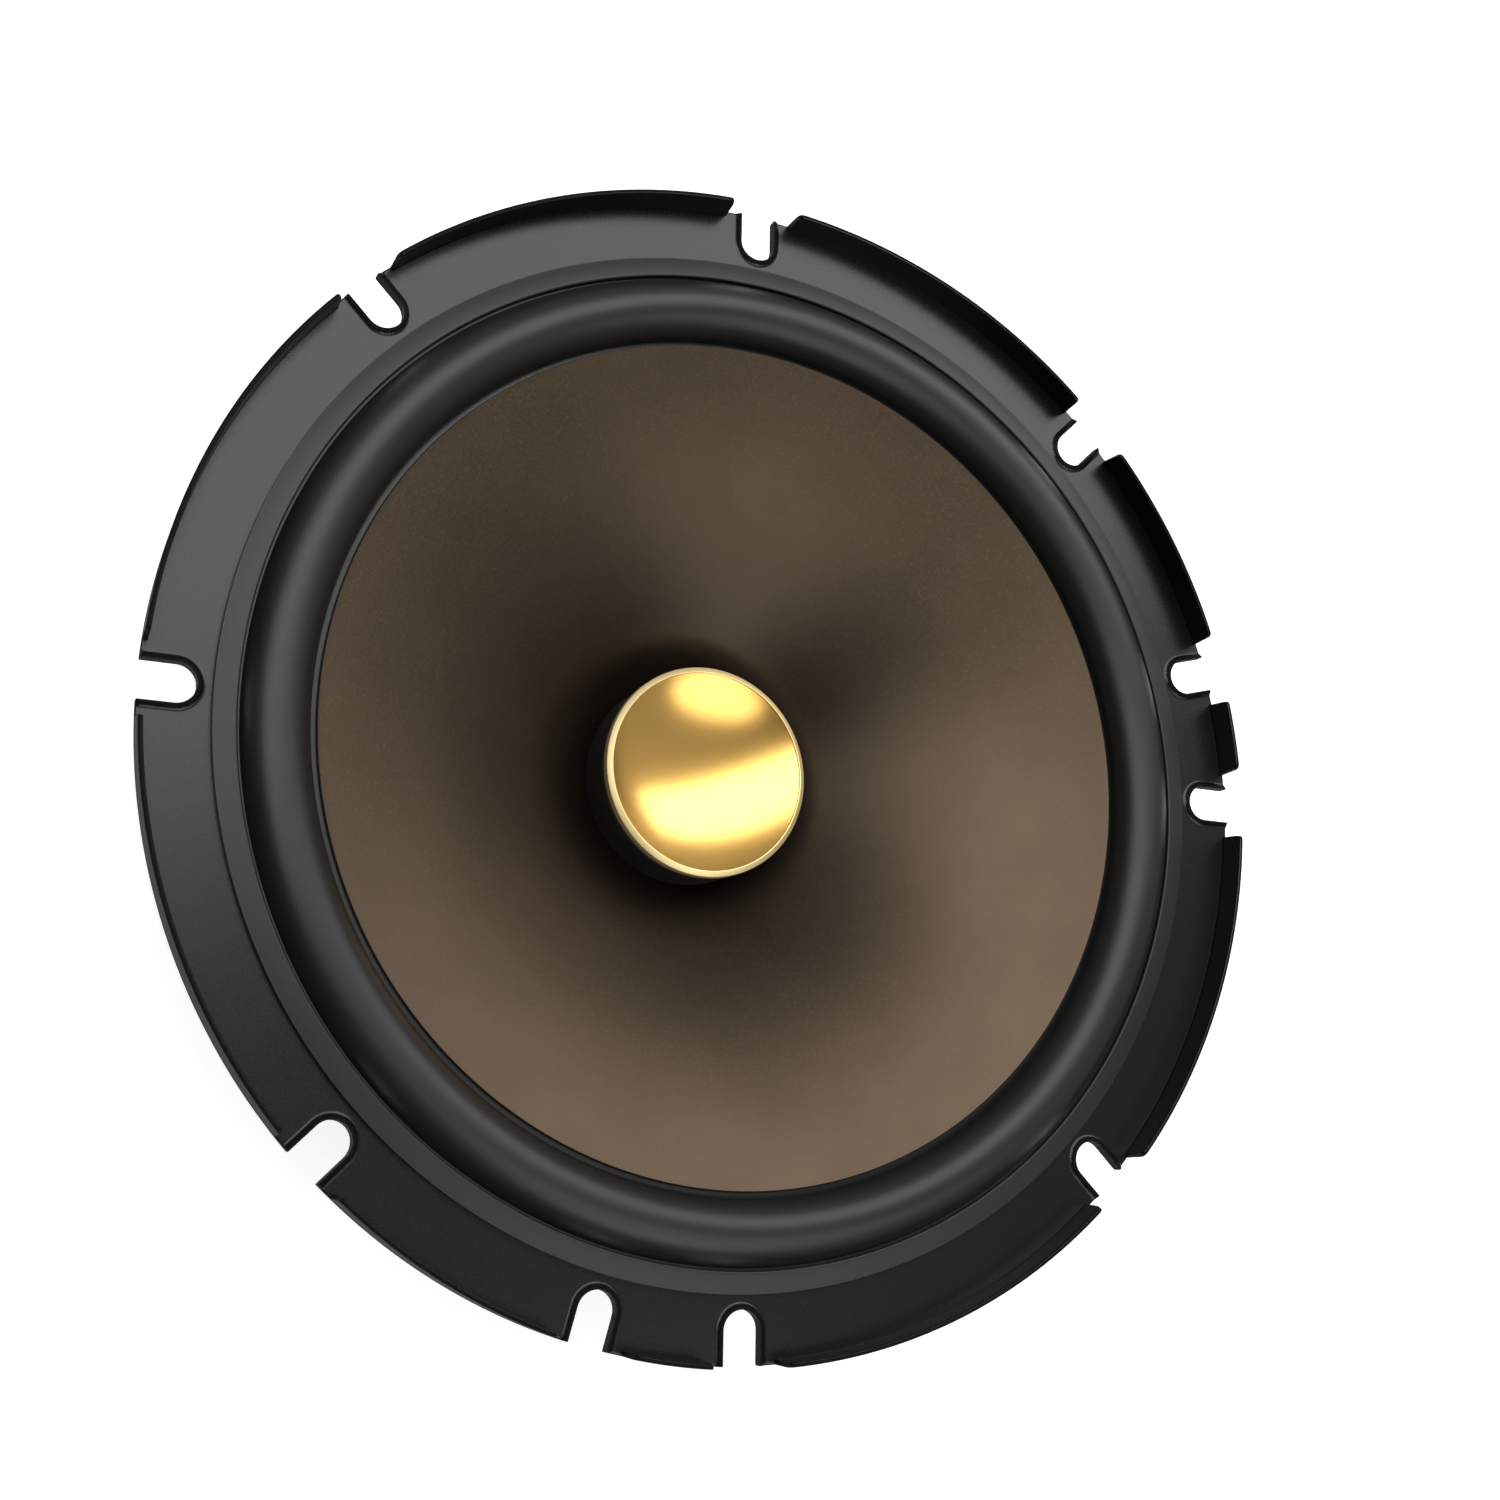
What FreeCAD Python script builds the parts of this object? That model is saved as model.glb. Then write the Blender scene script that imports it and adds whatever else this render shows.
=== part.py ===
import FreeCAD, Part
import math
import os

# A 6.5 inch car woofer, in millimetres.
# +Z is the speaker's axis, towards the listener. The origin is the centre of the flange's rear face.

# ---- driving dimensions ----
CONE_R = 60.0                 # cone edge
FLANGE_R = 82.0               # flat flange, at the ears beside each slot
FLANGE_T = 1.2                # flange sheet
LIP_R = 82.1                  # outer edge of the raised rim
LIP_H = 4.2                   # rim height above the flange face
LIP_FOOT_R = 81.3             # foot of the rim's inner wall
SLOT_PCD = 155.0              # screw circle
SLOT_W = 5.3                  # screw slot
SLOT_ANGLES = (-90, -45, -135, -30, -150, 0, 180, 45, 135, 90)
SLOT_RIM_W = 0.95             # soft raised edge round a slot
SLOT_RIM_H = 0.5
GAP_FOOT = (4.9, 5.1)         # half widths of a break in the rim, at its inner and outer side
GAP_CROWN = (5.2, 5.4)
SPOKES = 6
GLUE = 0.05                   # glue line between the frame and the moving parts

# ---- basket ----
WALL = 1.6
SPIGOT_R = 69.6               # outside of the wall that drops through the panel
SPIGOT_DEPTH = 10.0
SHELF_R = 47.0
SHELF_Z = -29.0               # spider lands here
WELL_R = 42.6                 # outside of the well behind the shelf
MOTOR_Z = -41.0               # front of the top plate
BASKET_BORE = 15.0
WINDOW_TOP = -10.6
WINDOW_TOP_HALF = 28.0
WINDOW_BOTTOM_HALF = 17.5
WINDOW_CORNER = 4.0
RIB_HALF = 3.0

# ---- cone and surround ----
CONE_T = 0.7
CONE_EDGE_Z = 1.45
NECK_R = 13.0
NECK_Z = -25.6
CONE_MID = (38.0, -8.2)
ROLL_OUT_R = 69.6
ROLL_IN_R = 61.2
ROLL_H = 3.4
RUBBER_T = 0.7
GASKET_R = 73.0
GASKET_H = 1.5
LAND_OUT_R = 72.6             # outer edge of the surround's foot
LAND_IN_R = 57.4              # inner edge of its land under the cone
SPIDER_HALF_T = 0.25
WAVES = 8                     # half waves of the spider
WAVE_START = 17.0
WAVE_PITCH = 2.9
WAVE_H = 1.0
SPIDER_R = 44.8
CAP_R = 15.7
CAP_Z = -13.2
CAP_T = 0.6
CAP_DISH = 4.0                # depth of the cap's dish
CAP_SKIRT = 1.8

# ---- motor ----
POLE_R = 11.9
SLEEVE_T = 0.3
FORMER_R = 12.6               # inside of the former
FORMER_T = 0.15
WIRE_T = 0.7                  # two layers of winding
PLATE_BORE = 13.85
PLATE_T = 5.0
PLATE_R = 42.0
MAGNET_R = 45.0
MAGNET_BORE = 22.0
MAGNET_T = 16.0
YOKE_R = 40.0
VENT_R = 4.5
TAIL_R = 8.0                  # pole's tail in the back plate
SCREEN_R = 5.7
SCREEN_DEPTH = 1.2            # counterbore that holds the vent screen
COVER_HOLE_R = 9.0
COVER_T = 1.5
WINDING_H = 11.0
RIVET_R = 2.0
RIVET_CIRCLE_R = 30.0
RIVET_DEPTH = 3.0             # depth of the rivet holes in the top plate

# ---- terminals, on the +Y side ----
PANEL_Y = 47.0
PANEL_T = 1.6
TAB_Z = -21.5
TAB_T = 0.8
TAB_IN_Y = 41.6
TAB_OUT_Y = 57.0
TABS = {"positive_terminal": (-7.5, 6.3), "negative_terminal": (7.5, 4.8)}
PANEL_HALF = 15.0
PANEL_LOW = -38.0
PANEL_HIGH = -16.5
PANEL_RIVET_R = 1.5
PANEL_RIVETS = ((-9.0, -34.0), (9.0, -34.0))
SEAT_T = 1.4                  # bent tab of the shelf behind the panel
LEADS = {"tinsel_lead_positive": -1, "tinsel_lead_negative": 1}
LEAD_R = 0.6
LEAD_START = (7.5, TAB_IN_Y, TAB_Z)
LEAD_END = (5.6, 12.5, -27.4)
LEAD_DIP = 4.5                # lowest point of the lead below its start
JOINT_R = 0.7                 # solder bead on the former

# ---- levels that follow ----
YOKE_TOP = MOTOR_Z - PLATE_T - MAGNET_T
YOKE_REAR = YOKE_TOP - PLATE_T
COVER_REAR = YOKE_REAR - COVER_T
FORMER_OUT = FORMER_R + FORMER_T
WRAP_R = FORMER_OUT + 0.2
GAP_MID = MOTOR_Z - PLATE_T / 2
WINDING_TOP = GAP_MID + WINDING_H / 2
WINDING_BOTTOM = GAP_MID - WINDING_H / 2

AXIS = FreeCAD.Vector(0, 0, 1)
CENTRE = FreeCAD.Vector(0, 0, 0)


def point(r, z):
    """A point of a revolved profile: radius and height."""
    return FreeCAD.Vector(r, 0, z)


def outline(start, *steps):
    """A closed face in the XZ plane: a step is an end point, or a via point and an end point for an arc."""
    edges = []
    last = point(*start)
    for step in steps:
        if len(step) == 4:
            end = point(step[2], step[3])
            edges.append(Part.Arc(last, point(step[0], step[1]), end).toShape())
        else:
            end = point(*step)
            edges.append(Part.LineSegment(last, end).toShape())
        last = end
    if last.distanceToPoint(point(*start)) > 1e-6:
        edges.append(Part.LineSegment(last, point(*start)).toShape())
    return Part.Face(Part.Wire(edges))


def turn(start, *steps):
    """The solid that the outline sweeps about the speaker's axis."""
    return outline(start, *steps).revolve(CENTRE, AXIS, 360)


def ring(inner, outer, low, high):
    """A plain ring between two radii and two heights."""
    outside = Part.makeCylinder(outer, high - low, FreeCAD.Vector(0, 0, low))
    return outside.cut(Part.makeCylinder(inner, high - low, FreeCAD.Vector(0, 0, low)))


def turned(shape, degrees):
    """A copy of the shape, turned about the speaker's axis."""
    copy = shape.copy()
    copy.rotate(CENTRE, AXIS, degrees)
    return copy


def block(x_low, x_high, y_low, y_high, z_low, z_high):
    """A box between two corners."""
    size = (x_high - x_low, y_high - y_low, z_high - z_low)
    return Part.makeBox(*size, FreeCAD.Vector(x_low, y_low, z_low))


def prism(corners, low, high):
    """A vertical prism on a polygon of XY corners."""
    points = [FreeCAD.Vector(x, y, low) for x, y in corners]
    return Part.Face(Part.makePolygon(points + points[:1])).extrude(FreeCAD.Vector(0, 0, high - low))


def save(name, shape):
    """Writes one sub-part."""
    shape.exportStep(os.path.join("parts", name + ".step"))


# ---- basket ----

def u_outline(half, inner_end, outer_end, z):
    """A U that is open towards +X: its round end is nearest the axis."""
    centre = inner_end + half
    upper = FreeCAD.Vector(centre, half, z)
    lower = FreeCAD.Vector(centre, -half, z)
    far_up = FreeCAD.Vector(outer_end, half, z)
    far_low = FreeCAD.Vector(outer_end, -half, z)
    arc = Part.Arc(upper, FreeCAD.Vector(inner_end, 0, z), lower).toShape()
    corners = (lower, far_low, far_up, upper)
    lines = [Part.LineSegment(a, b).toShape() for a, b in zip(corners, corners[1:])]
    return Part.Wire([arc] + lines)


def slot_cut():
    """The through cut of one screw slot, along +X."""
    inner_end = SLOT_PCD / 2 - SLOT_W / 2
    wire = u_outline(SLOT_W / 2, inner_end, LIP_R + 2, -1)
    return Part.Face(wire).extrude(FreeCAD.Vector(0, 0, FLANGE_T + LIP_H + 2))


def slot_rim():
    """The soft raised edge around one slot's round end, along +X."""
    inner_end = SLOT_PCD / 2 - SLOT_W / 2
    foot = u_outline(SLOT_W / 2 + SLOT_RIM_W, inner_end - SLOT_RIM_W, FLANGE_R - 0.8, FLANGE_T)
    crown = u_outline(SLOT_W / 2 + 0.4, inner_end - 0.4, FLANGE_R - 1.6, FLANGE_T + SLOT_RIM_H)
    return Part.makeLoft([foot, crown], True, True)


def lip():
    """The raised rim round the flange: a steep wall with a round top."""
    face = FLANGE_T
    top = face + LIP_H
    return turn(
        (LIP_FOOT_R, face - 0.6),
        (LIP_FOOT_R, face),
        (LIP_R - 0.68, top - 0.32),
        (LIP_R - 0.34, top, LIP_R, top - 0.34),
        (LIP_R - 0.15, 0.5),
        (LIP_R - 0.3, 0.15, LIP_R - 0.7, 0.0),
        (LIP_FOOT_R, 0.0),
    )


def lip_gap():
    """The break in the rim at one slot, wider at the top than at the flange."""
    low, high = FLANGE_T, FLANGE_T + LIP_H + 1
    inner, outer = LIP_FOOT_R - 1, LIP_R + 3
    loops = []
    for (near, far), z in ((GAP_FOOT, low), (GAP_CROWN, high)):
        corners = [(inner, -near), (outer, -far), (outer, far), (inner, near)]
        points = [FreeCAD.Vector(x, y, z) for x, y in corners]
        loops.append(Part.makePolygon(points + points[:1]))
    upper = Part.makeLoft(loops, True, True)
    near, far = GAP_FOOT
    foot = prism([(inner, -near), (outer, -far), (outer, far), (inner, near)], -1, low)
    outside = foot.cut(Part.makeCylinder(FLANGE_R, low + 2, FreeCAD.Vector(0, 0, -1.5)))
    return upper.fuse(outside)


def window_cut():
    """One opening between two spokes, along +X, with round corners."""
    bottom = SHELF_Z + 0.4
    low_half, top_half = WINDOW_BOTTOM_HALF, WINDOW_TOP_HALF
    corners = [(-low_half, bottom), (low_half, bottom), (top_half, WINDOW_TOP), (-top_half, WINDOW_TOP)]
    points = [FreeCAD.Vector(WELL_R - 6, y, z) for y, z in corners]
    solid = Part.Face(Part.makePolygon(points + points[:1])).extrude(FreeCAD.Vector(FLANGE_R, 0, 0))
    long_edges = [e for e in solid.Edges if abs(e.tangentAt(e.FirstParameter).x) > 0.99]
    return solid.makeFillet(WINDOW_CORNER, long_edges)


def spoke_rib():
    """The stiffening rib along the outside of one spoke, along +X."""
    foot = MOTOR_Z + 3.0
    corners = [
        (SPIGOT_R - 1.0, -SPIGOT_DEPTH - 0.6),
        (SPIGOT_R - 0.8, -SPIGOT_DEPTH - 2.6),
        (SHELF_R + 3.0, SHELF_Z - 1.4),
        (WELL_R + 2.4, foot),
        (WELL_R - 0.6, foot),
        (WELL_R - 0.6, SHELF_Z - 0.5),
        (SHELF_R, SHELF_Z - 0.5),
        (SPIGOT_R - 3.0, -SPIGOT_DEPTH - 2.0),
    ]
    points = [FreeCAD.Vector(x, -RIB_HALF, z) for x, z in corners]
    return Part.Face(Part.makePolygon(points + points[:1])).extrude(FreeCAD.Vector(0, 2 * RIB_HALF, 0))


def basket_shell():
    """Flange, wall, sloping side, shelf and well as one turned sheet."""
    inner = SPIGOT_R - WALL
    well = WELL_R - WALL
    return turn(
        (FLANGE_R, 0),
        (FLANGE_R, FLANGE_T),
        (inner + 1.2, FLANGE_T),
        (inner + 0.35, FLANGE_T - 0.35, inner, FLANGE_T - 1.2),
        (inner, -SPIGOT_DEPTH + 0.8),
        (SHELF_R - 0.5, SHELF_Z + 1.6),
        (SHELF_R - 0.9, SHELF_Z + 0.4, SHELF_R - 2.0, SHELF_Z),
        (well + 0.8, SHELF_Z),
        (well + 0.2, SHELF_Z - 0.2, well, SHELF_Z - 0.8),
        (well, MOTOR_Z + WALL),
        (BASKET_BORE, MOTOR_Z + WALL),
        (BASKET_BORE, MOTOR_Z),
        (WELL_R - 1.0, MOTOR_Z),
        (WELL_R - 0.3, MOTOR_Z + 0.3, WELL_R, MOTOR_Z + 1.0),
        (WELL_R, SHELF_Z - WALL),
        (SHELF_R, SHELF_Z - WALL),
        (SHELF_R + 1.2, SHELF_Z - 0.4),
        (SPIGOT_R, -SPIGOT_DEPTH),
        (SPIGOT_R, 0),
    )


def panel_seat():
    """The bent tab of the shelf that the terminal panel is riveted to."""
    half = PANEL_HALF - 2
    return block(-half, half, PANEL_Y - SEAT_T, PANEL_Y, PANEL_LOW, SHELF_Z)


def panel_notch():
    """The space that the terminal panel takes out of the shelf's edge."""
    half = PANEL_HALF + 0.3
    return block(-half, half, PANEL_Y, PANEL_Y + PANEL_T + 3, PANEL_LOW - 1, PANEL_HIGH + 1)


def basket():
    """The whole pressed frame."""
    body = basket_shell()
    rim = lip()
    cutters = []
    for angle in SLOT_ANGLES:
        rim = rim.cut(turned(lip_gap(), angle))
        cutters.append(turned(slot_cut(), angle))
    body = body.fuse(rim)
    for angle in SLOT_ANGLES:
        body = body.fuse(turned(slot_rim(), angle))
    for k in range(SPOKES):
        cutters.append(turned(window_cut(), 30 + 60 * k))
    body = body.cut(Part.makeCompound(cutters))
    for k in range(SPOKES):
        body = body.fuse(turned(spoke_rib(), 60 * k))
    body = body.fuse(panel_seat()).cut(panel_notch())
    for x, z in PANEL_RIVETS:
        body = body.cut(pin_along_y(PANEL_RIVET_R, x, PANEL_Y - 3, PANEL_Y + 1, z))
    for x, y in motor_rivet_places():
        body = body.cut(Part.makeCylinder(RIVET_R, WALL + 2, FreeCAD.Vector(x, y, MOTOR_Z - 1)))
    return body.removeSplitter()


# ---- soft suspension ----

def gasket_ring():
    """The ring that clamps the surround to the flange."""
    base = FLANGE_T + RUBBER_T
    top = FLANGE_T + GASKET_H
    return turn(
        (LAND_OUT_R, FLANGE_T),
        (GASKET_R, FLANGE_T),
        (GASKET_R, FLANGE_T + 0.85),
        (GASKET_R - 0.04, FLANGE_T + 0.96, GASKET_R - 0.15, FLANGE_T + 1.0),
        (ROLL_OUT_R + 1.0, top),
        (ROLL_OUT_R + 0.55, top - 0.1, ROLL_OUT_R + 0.4, top - 0.4),
        (ROLL_OUT_R + 0.4, base),
        (LAND_OUT_R, base),
    )


def surround():
    """The rubber half roll, from the flange to the back of the cone's edge."""
    foot = FLANGE_T
    land_top = cone_z(CONE_R) - CONE_T - GLUE
    land_in_top = cone_z(LAND_IN_R) - CONE_T - GLUE
    middle = (ROLL_OUT_R + ROLL_IN_R) / 2
    crest = foot + RUBBER_T + ROLL_H
    inner_foot = land_top - 0.2
    return turn(
        (LAND_OUT_R, foot),
        (LAND_OUT_R, foot + RUBBER_T),
        (ROLL_OUT_R + 0.1, foot + RUBBER_T),
        (middle, crest + 0.1, ROLL_IN_R, inner_foot + 0.1),
        (CONE_R + 0.1, land_top),
        (CONE_R, land_top),
        (LAND_IN_R, land_in_top),
        (LAND_IN_R, land_in_top - RUBBER_T),
        (ROLL_IN_R + RUBBER_T, inner_foot - RUBBER_T + 0.1),
        (middle, crest - RUBBER_T, ROLL_OUT_R - RUBBER_T - 0.1, foot),
    )


def spider():
    """The corrugated cloth disc that centres the voice coil."""
    mid = SHELF_Z + GLUE + SPIDER_HALF_T
    top, low = mid + SPIDER_HALF_T, mid - SPIDER_HALF_T
    inner = WRAP_R + GLUE
    waves = []
    for k in range(WAVES):
        start = WAVE_START + k * WAVE_PITCH
        waves.append((start, start + WAVE_PITCH / 2, start + WAVE_PITCH, WAVE_H if k % 2 else -WAVE_H))
    path = [(WAVE_START, top)]
    for start, crest, end, height in waves:
        path.append((crest, top + height, end, top))
    path.append((SPIDER_R, top))
    path.append((SPIDER_R, low))
    path.append((waves[-1][2], low))
    for start, crest, end, height in reversed(waves):
        path.append((crest, low + height, start, low))
    path.append((inner + 1.2, low))
    path.append((inner, low + 0.3))
    path.append((inner, top + 0.3))
    path.append((inner + 0.5, top + 0.3))
    path.append((inner + 0.8, top))
    return turn(*path)


# ---- moving parts ----

def cone_centre():
    """Centre and radius of the arc through the cone's neck, middle and edge."""
    arc = Part.Arc(point(NECK_R, NECK_Z), point(*CONE_MID), point(CONE_R, CONE_EDGE_Z))
    circle = arc.toShape().Curve
    return circle.Center, circle.Radius


def cone_z(r):
    """Height of the cone's front face at a radius."""
    centre, radius = cone_centre()
    return centre.z + math.sqrt(radius ** 2 - (r - centre.x) ** 2)


def cone():
    """The curved diaphragm, with a short upright neck."""
    edge_low = CONE_EDGE_Z - CONE_T
    neck_low = NECK_Z - CONE_T
    return turn(
        (NECK_R, NECK_Z),
        (CONE_MID[0], CONE_MID[1], CONE_R, CONE_EDGE_Z),
        (CONE_R, edge_low),
        (CONE_MID[0], CONE_MID[1] - CONE_T, NECK_R + 0.4, neck_low + 0.2),
        (NECK_R + 0.4, neck_low - 0.3),
        (NECK_R, neck_low - 0.3),
    )


def bowl_via(edge_r, edge_z, centre_z):
    """A point halfway along the arc of a sphere whose centre is on the axis."""
    rise = edge_z - centre_z
    radius = (edge_r ** 2 + rise ** 2) / (2 * rise)
    half = edge_r / 2
    return half, centre_z + radius - math.sqrt(radius ** 2 - half ** 2)


def dust_cap():
    """The metal centre cap: a dish with a bevelled edge and a skirt."""
    centre = CAP_Z - CAP_DISH
    dish_r = CAP_R - 0.9
    seat_r = CAP_R - 1.9
    seat = CAP_Z - 1.1
    low = centre - CAP_T
    return turn(
        (0, centre),
        (*bowl_via(dish_r, CAP_Z - 0.1, centre), dish_r, CAP_Z - 0.1),
        (CAP_R - 0.7, CAP_Z),
        (CAP_R, CAP_Z - 0.5),
        (CAP_R, CAP_Z - CAP_SKIRT),
        (CAP_R - CAP_T, CAP_Z - CAP_SKIRT),
        (CAP_R - CAP_T, seat),
        (seat_r, seat),
        (*bowl_via(seat_r, seat, low), 0, low),
    )


def cap_collar():
    """The black ring that carries the cap on the cone."""
    outer, inner = CAP_R - CAP_T, CAP_R - 1.8
    return turn(
        (inner, cone_z(inner) + 0.1),
        (inner, CAP_Z - 1.1),
        (outer, CAP_Z - 1.1),
        (outer, CAP_Z - 2.6),
        (outer + 0.4, CAP_Z - 3.2),
        (outer + 0.4, cone_z(outer + 0.4) + 0.1),
    )


def voice_coil_former():
    """The thin tube between the cone and the winding."""
    return ring(FORMER_R, FORMER_OUT, WINDING_BOTTOM - 1.0, NECK_Z + 3.0)


def former_wrap():
    """The paper band that covers the coil's lead-outs."""
    return ring(FORMER_OUT, WRAP_R, WINDING_TOP, NECK_Z + 0.6)


def voice_coil_winding():
    """The winding, as one solid sleeve."""
    return ring(FORMER_OUT, FORMER_OUT + WIRE_T, WINDING_BOTTOM, WINDING_TOP)


# ---- motor ----

def top_plate():
    """The front steel plate of the magnet gap, drilled for the basket rivets."""
    plate = ring(PLATE_BORE, PLATE_R, MOTOR_Z - PLATE_T, MOTOR_Z)
    for x, y in motor_rivet_places():
        foot = FreeCAD.Vector(x, y, MOTOR_Z - RIVET_DEPTH)
        plate = plate.cut(Part.makeCylinder(RIVET_R, RIVET_DEPTH + 1, foot))
    return plate


def back_plate():
    """The rear steel plate, bored for the pole's tail."""
    return turn(
        (TAIL_R, YOKE_REAR),
        (TAIL_R, YOKE_TOP),
        (YOKE_R, YOKE_TOP),
        (YOKE_R, YOKE_REAR + 1.0),
        (YOKE_R - 1.0, YOKE_REAR),
    )


def pole_piece():
    """The steel pole, vented through its middle, with a tail in the back plate."""
    top = MOTOR_Z + 0.5
    flare = 1.5
    return turn(
        (VENT_R, YOKE_REAR + SCREEN_DEPTH),
        (VENT_R, top - flare),
        (VENT_R + flare, top),
        (POLE_R - 0.6, top),
        (POLE_R, top - 0.6),
        (POLE_R, YOKE_TOP),
        (TAIL_R, YOKE_TOP),
        (TAIL_R, YOKE_REAR),
        (SCREEN_R, YOKE_REAR),
        (SCREEN_R, YOKE_REAR + SCREEN_DEPTH),
    )


def pole_sleeve():
    """The copper shorting sleeve pressed round the pole."""
    return ring(POLE_R, POLE_R + SLEEVE_T, MOTOR_Z - 9.0, MOTOR_Z - 0.2)


def vent_screen():
    """The disc of mesh in the mouth of the vent, with a grid of square holes."""
    thick, pitch, hole = 0.5, 1.6, 1.1
    z = YOKE_REAR + SCREEN_DEPTH - thick
    disc = Part.makeCylinder(SCREEN_R, thick, FreeCAD.Vector(0, 0, z))
    cutters = []
    for i in range(-2, 3):
        for j in range(-2, 3):
            if math.hypot(i, j) * pitch < VENT_R - 0.6:
                x, y = i * pitch, j * pitch
                cutters.append(block(x - hole / 2, x + hole / 2, y - hole / 2, y + hole / 2, z, z + thick))
    return disc.cut(Part.makeCompound(cutters))


def magnet_cover():
    """The rubber boot over the magnet and back plate."""
    low = COVER_REAR
    outer = MAGNET_R + 1.8
    return turn(
        (COVER_HOLE_R, low),
        (COVER_HOLE_R, YOKE_REAR),
        (YOKE_R - 0.9, YOKE_REAR),
        (YOKE_R + 0.1, YOKE_REAR + 1.0),
        (YOKE_R + 0.1, YOKE_TOP - 0.2),
        (MAGNET_R + 0.05, YOKE_TOP - 0.2),
        (MAGNET_R + 0.05, MOTOR_Z - PLATE_T - 0.5),
        (outer - 0.4, MOTOR_Z - PLATE_T - 0.5),
        (outer, MOTOR_Z - PLATE_T - 0.9),
        (outer, low + 4.0),
        (outer - 1.2, low + 1.2, outer - 4.0, low),
    )


# ---- terminals, leads and fasteners ----

def pin_along_y(radius, x, y_low, y_high, z):
    """A round bar parallel to Y."""
    return Part.makeCylinder(radius, y_high - y_low, FreeCAD.Vector(x, y_low, z), FreeCAD.Vector(0, 1, 0))


def motor_rivet_places():
    """XY places of the rivets that hold the basket to the top plate."""
    places = []
    for degrees in (45, 135, 225, 315):
        angle = math.radians(degrees)
        places.append((RIVET_CIRCLE_R * math.cos(angle), RIVET_CIRCLE_R * math.sin(angle)))
    return places


def motor_rivets():
    """Four staked rivets, one solid each."""
    rivets = []
    for x, y in motor_rivet_places():
        shank = Part.makeCylinder(RIVET_R, RIVET_DEPTH + WALL, FreeCAD.Vector(x, y, MOTOR_Z - RIVET_DEPTH))
        head = Part.makeCone(RIVET_R + 1.4, RIVET_R + 0.4, 1.0, FreeCAD.Vector(x, y, MOTOR_Z + WALL))
        rivets.append(shank.fuse(head).removeSplitter())
    return Part.makeCompound(rivets)


def panel_rivets():
    """Two rivets that hold the terminal panel, one solid each."""
    rivets = []
    back = PANEL_Y - SEAT_T
    front = PANEL_Y + PANEL_T
    head, crown, height = PANEL_RIVET_R + 1.1, PANEL_RIVET_R + 0.3, 0.8
    for x, z in PANEL_RIVETS:
        shank = pin_along_y(PANEL_RIVET_R, x, back, front, z)
        front_head = Part.makeCone(head, crown, height, FreeCAD.Vector(x, front, z), FreeCAD.Vector(0, 1, 0))
        back_head = Part.makeCone(head, crown, height, FreeCAD.Vector(x, back, z), FreeCAD.Vector(0, -1, 0))
        rivets.append(shank.fuse([front_head, back_head]).removeSplitter())
    return Part.makeCompound(rivets)


def terminal_panel():
    """The board that holds the two tabs."""
    board = block(-PANEL_HALF, PANEL_HALF, PANEL_Y, PANEL_Y + PANEL_T, PANEL_LOW, PANEL_HIGH)
    corners = [e for e in board.Edges if abs(e.tangentAt(e.FirstParameter).y) > 0.99]
    board = board.makeFillet(2.0, corners)
    low, high = TAB_Z - TAB_T / 2, TAB_Z + TAB_T / 2
    for x, width in TABS.values():
        board = board.cut(block(x - width / 2, x + width / 2, TAB_IN_Y, TAB_OUT_Y, low, high))
    for x, z in PANEL_RIVETS:
        board = board.cut(pin_along_y(PANEL_RIVET_R, x, PANEL_Y - 1, PANEL_Y + 3, z))
    return board


def terminal(x, width):
    """One blade through the panel, with a shoulder on each face, a hole, and a solder lug inside."""
    low, high = TAB_Z - TAB_T / 2, TAB_Z + TAB_T / 2
    half, nose, shoulder, hole_r = width / 2, 1.2, 0.8, 0.9
    corners = []
    for side, end, step in ((-1, TAB_IN_Y, nose), (1, TAB_OUT_Y, -nose)):
        corners.append((x + side * half, end + step))
        corners.append((x + side * (half - nose), end))
        corners.append((x - side * (half - nose), end))
        corners.append((x - side * half, end + step))
    blade = prism(corners, low, high)
    front = PANEL_Y + PANEL_T
    left, right = x - half - shoulder, x + half + shoulder
    outside = block(left, right, front, front + shoulder, low - 1.2, high + 1.2)
    inside = block(left, right, PANEL_Y - 0.6, PANEL_Y, low - shoulder, high + shoulder)
    tab = blade.fuse([outside, inside]).removeSplitter()
    return tab.cut(Part.makeCylinder(hole_r, TAB_T + 2, FreeCAD.Vector(x, TAB_OUT_Y - 3.2, low - 1)))


def bead(side):
    """One solder bead on the former."""
    x, y, z = side * LEAD_END[0], LEAD_END[1], LEAD_END[2]
    reach = (WRAP_R + JOINT_R * 0.6) / math.hypot(x, y)
    ball = Part.makeSphere(JOINT_R, FreeCAD.Vector(x * reach, y * reach, z))
    return ball.cut(Part.makeCylinder(WRAP_R, 4 * JOINT_R, FreeCAD.Vector(0, 0, z - 2 * JOINT_R)))


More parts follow.
